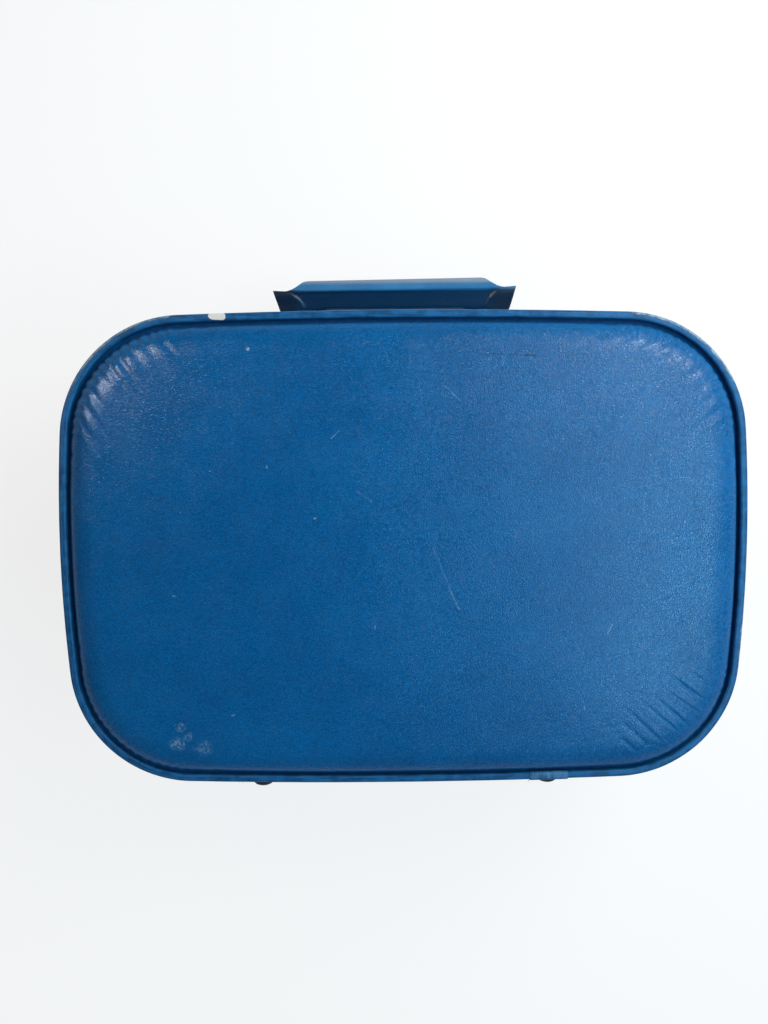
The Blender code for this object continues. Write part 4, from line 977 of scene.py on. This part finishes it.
def buildPocket():
    # A gathered panel: sewn flat at three sides, open and elastic on the handle's side
    columns, rows = pocket["columns"], pocket["rows"]
    points, faces, corners = [], [], []
    halfLength, halfWidth = pocket["length"] / 2, pocket["width"] / 2
    for row in range(rows + 1):
        across = row / rows       # 0 at the open mouth, 1 at the sewn foot
        for column in range(columns + 1):
            share = column / columns
            x = (share - 0.5) * pocket["length"]
            y = pocket["setback"] + (across - 0.5) * pocket["width"]
            # Round the two sewn corners
            cornerX = abs(x) - (halfLength - pocket["round"])
            cornerY = across * pocket["width"] - (pocket["width"] - pocket["round"])
            if cornerX > 0 and cornerY > 0:
                reach = max(cornerX, cornerY) / max(1e-6, math.hypot(cornerX, cornerY))
                x = math.copysign(halfLength - pocket["round"] + cornerX * reach, x)
                y = pocket["setback"] + halfWidth - pocket["round"] + cornerY * reach
            sewn = min(smoothStep(0.5 - abs(share - 0.5), 0.0, 0.10), smoothStep(1 - across, 0.0, 0.30))
            phase = share * pocket["ruffles"] * math.tau + 2.2 * noise.noise((share * 9, across * 1.5, 4.0))
            gather = 0.35 + 0.65 * (1 - smoothStep(across, 0.0, 0.55)) + 0.5 * smoothStep(across, 0.8, 1.0)
            wave = math.sin(phase) * pocket["ruffle"] * gather * (0.4 + 0.6 * sewn)
            hem = pocket["hem"] if across < 0.07 else 0.0
            swell = pocket["swell"] * sewn * (0.75 + 0.25 * noise.noise((x * 14, y * 14, 9.0)))
            z = pocket["ceiling"] - 0.0012 - swell + wave * (0.5 + 0.5 * sewn) - hem
            points.append(Vector((x, y, min(z, pocket["ceiling"]))))
            corners.append((share * 0.46, across * pocket["width"]))
    faceCorners = []
    for row in range(rows):
        for column in range(columns):
            first = row * (columns + 1) + column
            quad = (first, first + 1, first + columns + 2, first + columns + 1)
            faces.append(quad)
            faceCorners += [corners[i] for i in quad]
    piece = meshPiece("lidPocketCloth", points, faces, faceCorners)
    thicken(piece, pocket["thickness"])
    finish = clothFinish("pocketCloth", pocket["colour"], pocket["shade"], pocket["threadScale"])
    dress(piece, finish, "lid")
    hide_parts("lid_pocket")


buildPocket()
print("linings and pocket built")


# Mended patch on the lid's binding, near the foot, and frayed threads
patch = {
    "start": -0.0980, "end": -0.0750, "lift": 0.00035, "thickness": 0.0003, "columns": 56,
    "ragged": 0.0004, "flatWidth": 0.0135,
    "colour": (0.030, 0.160, 0.340), "deepColour": (0.006, 0.080, 0.200), "bareColour": (0.25, 0.45, 0.62),
}


def longSidePoint(x, inset, side=1):
    # A point of the outline, drawn in by inset, at x on a long side
    best = min((ray for ray in rays if (ray[0] + ray[1] * ray[2]).y * side > 0.05),
               key=lambda ray: abs((ray[0] + ray[1] * ray[2]).x - x))
    centre, radius, way = best
    if radius > 0.1:
        slope = (x - centre.x) / radius
        way = Vector((slope, side * math.sqrt(1 - slope ** 2)))
    return centre + (radius - inset) * way


def buildPatch():
    section = rimSection(rim["lidFace"], -1)[:20]
    columns = patch["columns"]
    points, faces, corners = [], [], []
    draw = random.Random(3)
    ragged = [draw.uniform(-patch["ragged"], patch["ragged"]) for _ in range(columns + 1)]
    rowCount = len(section)
    for column in range(columns + 1):
        x = patch["start"] + (patch["end"] - patch["start"]) * column / columns
        length = 0.0
        for row, (inset, height) in enumerate(section):
            # The cloth stands off the binding along its section's normal
            before, after = section[max(0, row - 1)], section[min(rowCount - 1, row + 1)]
            run = Vector((after[0] - before[0], after[1] - before[1])).normalized()
            newInset, newHeight = inset - run.y * patch["lift"], height + run.x * patch["lift"]
            if row == 0:
                newHeight += ragged[column]
            spot = longSidePoint(x, newInset)
            points.append(Vector((spot.x, spot.y, newHeight)))
            corners.append((x, length))
            length += (Vector(after) - Vector(section[row])).length
    for column in range(columns):
        for row in range(rowCount - 1):
            first = column * rowCount + row
            faces.append((first, first + rowCount, first + rowCount + 1, first + 1))
    faceCorners = [corners[i] for face in faces for i in face]
    piece = meshPiece("bindingPatch", points, faces, faceCorners)
    thicken(piece, patch["thickness"])
    finish, tree, shader, place = newFinish("patchCloth", 0.6)
    # Glued cloth whose crosswise threads have worn bare
    across = tree.nodes.new("ShaderNodeUVMap").outputs[0]
    bare = cloudy(tree, stretched(tree, across, (1500, 120, 1)), 1.0, 3.0, 0.6)
    blot = cloudy(tree, place, 240, 3.0)
    colour = mixColours(tree, fade(tree, blot, 0.35, 0.65), patch["deepColour"], patch["colour"])
    colour = mixColours(tree, fade(tree, bare, 0.56, 0.74, 0.0, 0.75), colour, patch["bareColour"])
    paint(tree, shader, colour)
    emboss(tree, shader, bare, 0.00015)
    dress(piece, finish, "lid")


def tubeAlong(path, radius, sides=5):
    loops = []
    for i, point in enumerate(path):
        before, after = path[max(0, i - 1)], path[min(len(path) - 1, i + 1)]
        run = (after - before).normalized()
        side = run.cross(Vector((0.3, 0.2, 1))).normalized()
        other = run.cross(side)
        thick = radius * (1 if i < len(path) - 1 else 0.6)
        turns = [math.tau * k / sides for k in range(sides)]
        loops.append([point + thick * (math.cos(turn) * side + math.sin(turn) * other) for turn in turns])
    return loops


threads = {
    "count": 22, "apart": 16,                # all of them, and those away from the patch
    "start": 0.0850, "end": 0.1010, "height": 0.1345,
    "colour": (0.09, 0.20, 0.30), "deepColour": (0.010, 0.045, 0.095),
}


def buildThreads():
    draw = random.Random(11)
    points, faces = [], []
    for i in range(threads["count"]):
        if i < threads["apart"]:
            x = draw.uniform(threads["start"], threads["end"])
        else:
            x = draw.choice((patch["start"], patch["end"])) + draw.uniform(-0.001, 0.001)
        root = longSidePoint(x, 0.0004)
        start = Vector((root.x, root.y, threads["height"] + draw.uniform(-0.001, 0.0035)))
        lean = Vector((draw.uniform(-0.9, 0.9), 1.0, draw.uniform(-0.6, 0.5))).normalized()
        length = draw.uniform(0.0010, 0.0026)
        curl = Vector((draw.uniform(-1, 1), draw.uniform(-0.2, 0.3), draw.uniform(-1, 0.3))) * 0.0007
        path = [start + lean * length * share + curl * share ** 2 for share in (0, 0.3, 0.6, 0.85, 1.0)]
        loops = tubeAlong(path, draw.uniform(0.00008, 0.00014))
        offset, sides = len(points), len(loops[0])
        points += [point for loop in loops for point in loop]
        for row in range(len(loops) - 1):
            for k in range(sides):
                j = (k + 1) % sides
                faces.append((offset + row * sides + k, offset + row * sides + j,
                              offset + (row + 1) * sides + j, offset + (row + 1) * sides + k))
        faces.append(tuple(offset + k for k in range(sides)))
        faces.append(tuple(offset + (len(loops) - 1) * sides + k for k in range(sides)))
    piece = meshPiece("frayedThreads", points, faces)
    finish, tree, shader, place = newFinish("threadCotton", 0.8)
    tone = cloudy(tree, place, 500, 2.0)
    paint(tree, shader, mixColours(tree, fade(tree, tone, 0.4, 0.6), threads["deepColour"],
                                   threads["colour"]))
    emboss(tree, shader, tone, 0.00003)
    dress(piece, finish, "lid")


buildPatch()
buildThreads()
print("patch and threads built")


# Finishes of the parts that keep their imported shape
steel = steelFinish()
rubber = rubberFinish()
board = boardFinish()


# Rubber feet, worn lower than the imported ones, each with the dimple of its nail
feet = {"worn": 0.0021, "round": 0.0050, "dimple": 0.0021, "dimpleDepth": 0.0009, "sides": 56}


def buildFoot(name, node, body):
    low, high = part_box(node)
    radius = (high.x - low.x) / 2
    middle = (low + high) / 2
    top = high.y - feet["worn"]
    profile = [(radius, low.y), (radius, top - feet["round"])]
    for drawn, short in quarterRound(12, 1):
        profile.append((radius - feet["round"] * drawn, top - feet["round"] * short))
    profile += [(feet["dimple"] + 0.0003, top), (feet["dimple"], top - 0.0001),
                (feet["dimple"] * 0.9, top - feet["dimpleDepth"])]
    turns = [math.tau * k / feet["sides"] for k in range(feet["sides"])]
    loops = [[Vector((middle.x + reach * math.cos(turn), out, middle.z + reach * math.sin(turn)))
              for turn in turns] for reach, out in profile]
    piece = skin(name, loops, capFirst=True, capLast=True)
    dress(piece, rubber, body)
    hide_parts(node)


for half in ("base", "lid"):
    for side in ("left", "right"):
        buildFoot("foot" + half.capitalize() + side.capitalize(), "foot_" + half + "_" + side, half)
print("feet built")


def finishFor(name):
    if name.startswith("foot_"):
        return rubber
    if name in ("base_frame", "base_back_board", "lid_top_board"):
        return board
    return steel


edges = {"width": 0.00025, "segments": 2, "angle": 40}
softened = ("lock_case", "_slide", "keeper", "_hasp", "leaf", "bracket_left", "bracket_right")
for name, node in nodes.items():
    node.data.materials.clear()
    node.data.materials.append(finishFor(name))
    if name.endswith(softened) and not name.startswith("rivet"):
        rounding = node.modifiers.new("softEdges", "BEVEL")
        rounding.width = edges["width"]
        rounding.segments = edges["segments"]
        rounding.limit_method = "ANGLE"
        rounding.angle_limit = math.radians(edges["angle"])
        rounding.harden_normals = True
print("fittings finished")


# Floor, world and lamps
studio = {
    "floorSize": 24.0, "floorColour": (0.93, 0.93, 0.93), "floorGlow": 0.78,
    "glossGlow": 0.25,        # what polished pieces see of the floor
    "skyDiffuse": 0.30, "skyGloss": 0.01, "lightSide": 0.45, "shadeSide": 0.12,
    "floorSteps": 12,
}


def buildFloor():
    half, steps = studio["floorSize"] / 2, studio["floorSteps"]
    points = [Vector((-half + 2 * half * i / steps, -half + 2 * half * j / steps, 0))
              for j in range(steps + 1) for i in range(steps + 1)]
    faces = [(j * (steps + 1) + i, j * (steps + 1) + i + 1, (j + 1) * (steps + 1) + i + 1,
              (j + 1) * (steps + 1) + i) for j in range(steps) for i in range(steps)]
    floor = meshPiece("paleFloor", points, faces)
    finish, tree, shader, place = newFinish("floorPaper", 0.9)
    shader.inputs["Base Color"].default_value = (*studio["floorColour"], 1)
    shader.inputs["Specular IOR Level"].default_value = 0.1
    rayPath = tree.nodes.new("ShaderNodeLightPath")
    seen = calc(tree, "MAXIMUM", rayPath.outputs["Is Camera Ray"], rayPath.outputs["Is Transmission Ray"])
    seen = calc(tree, "MULTIPLY", seen, studio["floorGlow"])
    seen = calc(tree, "MAXIMUM", seen, calc(tree, "MULTIPLY", rayPath.outputs["Is Glossy Ray"],
                                            studio["glossGlow"]))
    glow = make(tree, "ShaderNodeEmission", {"Color": (1, 1, 1, 1), "Strength": 1.0})
    mixed = make(tree, "ShaderNodeMixShader", {0: seen, 1: shader.outputs[0], 2: glow.outputs[0]})
    tree.links.new(mixed.outputs[0], tree.nodes["Material Output"].inputs["Surface"])
    floor.data.materials.append(finish)


def buildWorld():
    world = bpy.data.worlds.new("studioSky")
    world.use_nodes = True
    bpy.context.scene.world = world
    tree = world.node_tree
    background = tree.nodes["Background"]
    background.inputs["Color"].default_value = (1, 1, 1, 1)
    rayPath = tree.nodes.new("ShaderNodeLightPath")
    direction = tree.nodes.new("ShaderNodeTexCoord").outputs["Generated"]
    away, up = axesOf(tree, direction)[1:3]
    # Polished pieces see white round the horizon, and a dim ceiling overhead
    horizon = fade(tree, away, -0.5, 0.4, studio["lightSide"], studio["shadeSide"])
    overhead = fade(tree, up, 0.03, 0.50)
    glossy = mixNumbers(tree, overhead, horizon, studio["skyGloss"])
    strength = mixNumbers(tree, rayPath.outputs["Is Glossy Ray"], studio["skyDiffuse"], glossy)
    seen = calc(tree, "MAXIMUM", rayPath.outputs["Is Camera Ray"], rayPath.outputs["Is Transmission Ray"])
    strength = mixNumbers(tree, seen, strength, 1.0)
    tree.links.new(strength, background.inputs["Strength"])
    world.cycles.sampling_method = "NONE"


lamps = {
    # name: place, what it faces, size, power, colour, whether it lights matt surfaces and shows in gloss
    "sideWindow": ((-0.74, 0.16, 1.21), (-0.18, 0.05, 0.14), (1.15, 0.27), 9.0, (0.44, 0.80, 1.0),
                   True, True),
    "softKey": ((-0.42, -0.43, 0.56), (0.0, 0.0, 0.14), (0.45, 0.45), 4.7, (1, 1, 1), True, False),
    "cornerGlint": ((0.83, -0.53, 1.00), (0.157, -0.112, 0.15), (0.24, 0.24), 5.4, (1, 1, 1), False, True),
    "farCornerGlint": ((-0.728, -0.664, 1.06), (-0.155, -0.118, 0.15), (0.20, 0.20), 5.5, (1, 1, 1),
                       False, True),
}


def buildLamps():
    for name, (place, target, size, power, tint, matt, glossy) in lamps.items():
        lamp = bpy.data.lights.new(name, "AREA")
        lamp.shape = "RECTANGLE"
        lamp.size, lamp.size_y = size
        lamp.energy = power
        lamp.color = tint
        holder = bpy.data.objects.new(name, lamp)
        holder.location = place
        holder.rotation_euler = (Vector(target) - Vector(place)).to_track_quat("-Z", "Y").to_euler()
        holder.visible_camera = False
        holder.visible_diffuse = matt
        holder.visible_glossy = glossy
        bpy.context.scene.collection.objects.link(holder)


buildFloor()
buildWorld()
buildLamps()
bpy.context.scene.view_settings.view_transform = "Standard"
print("floor, world and lamps ready")
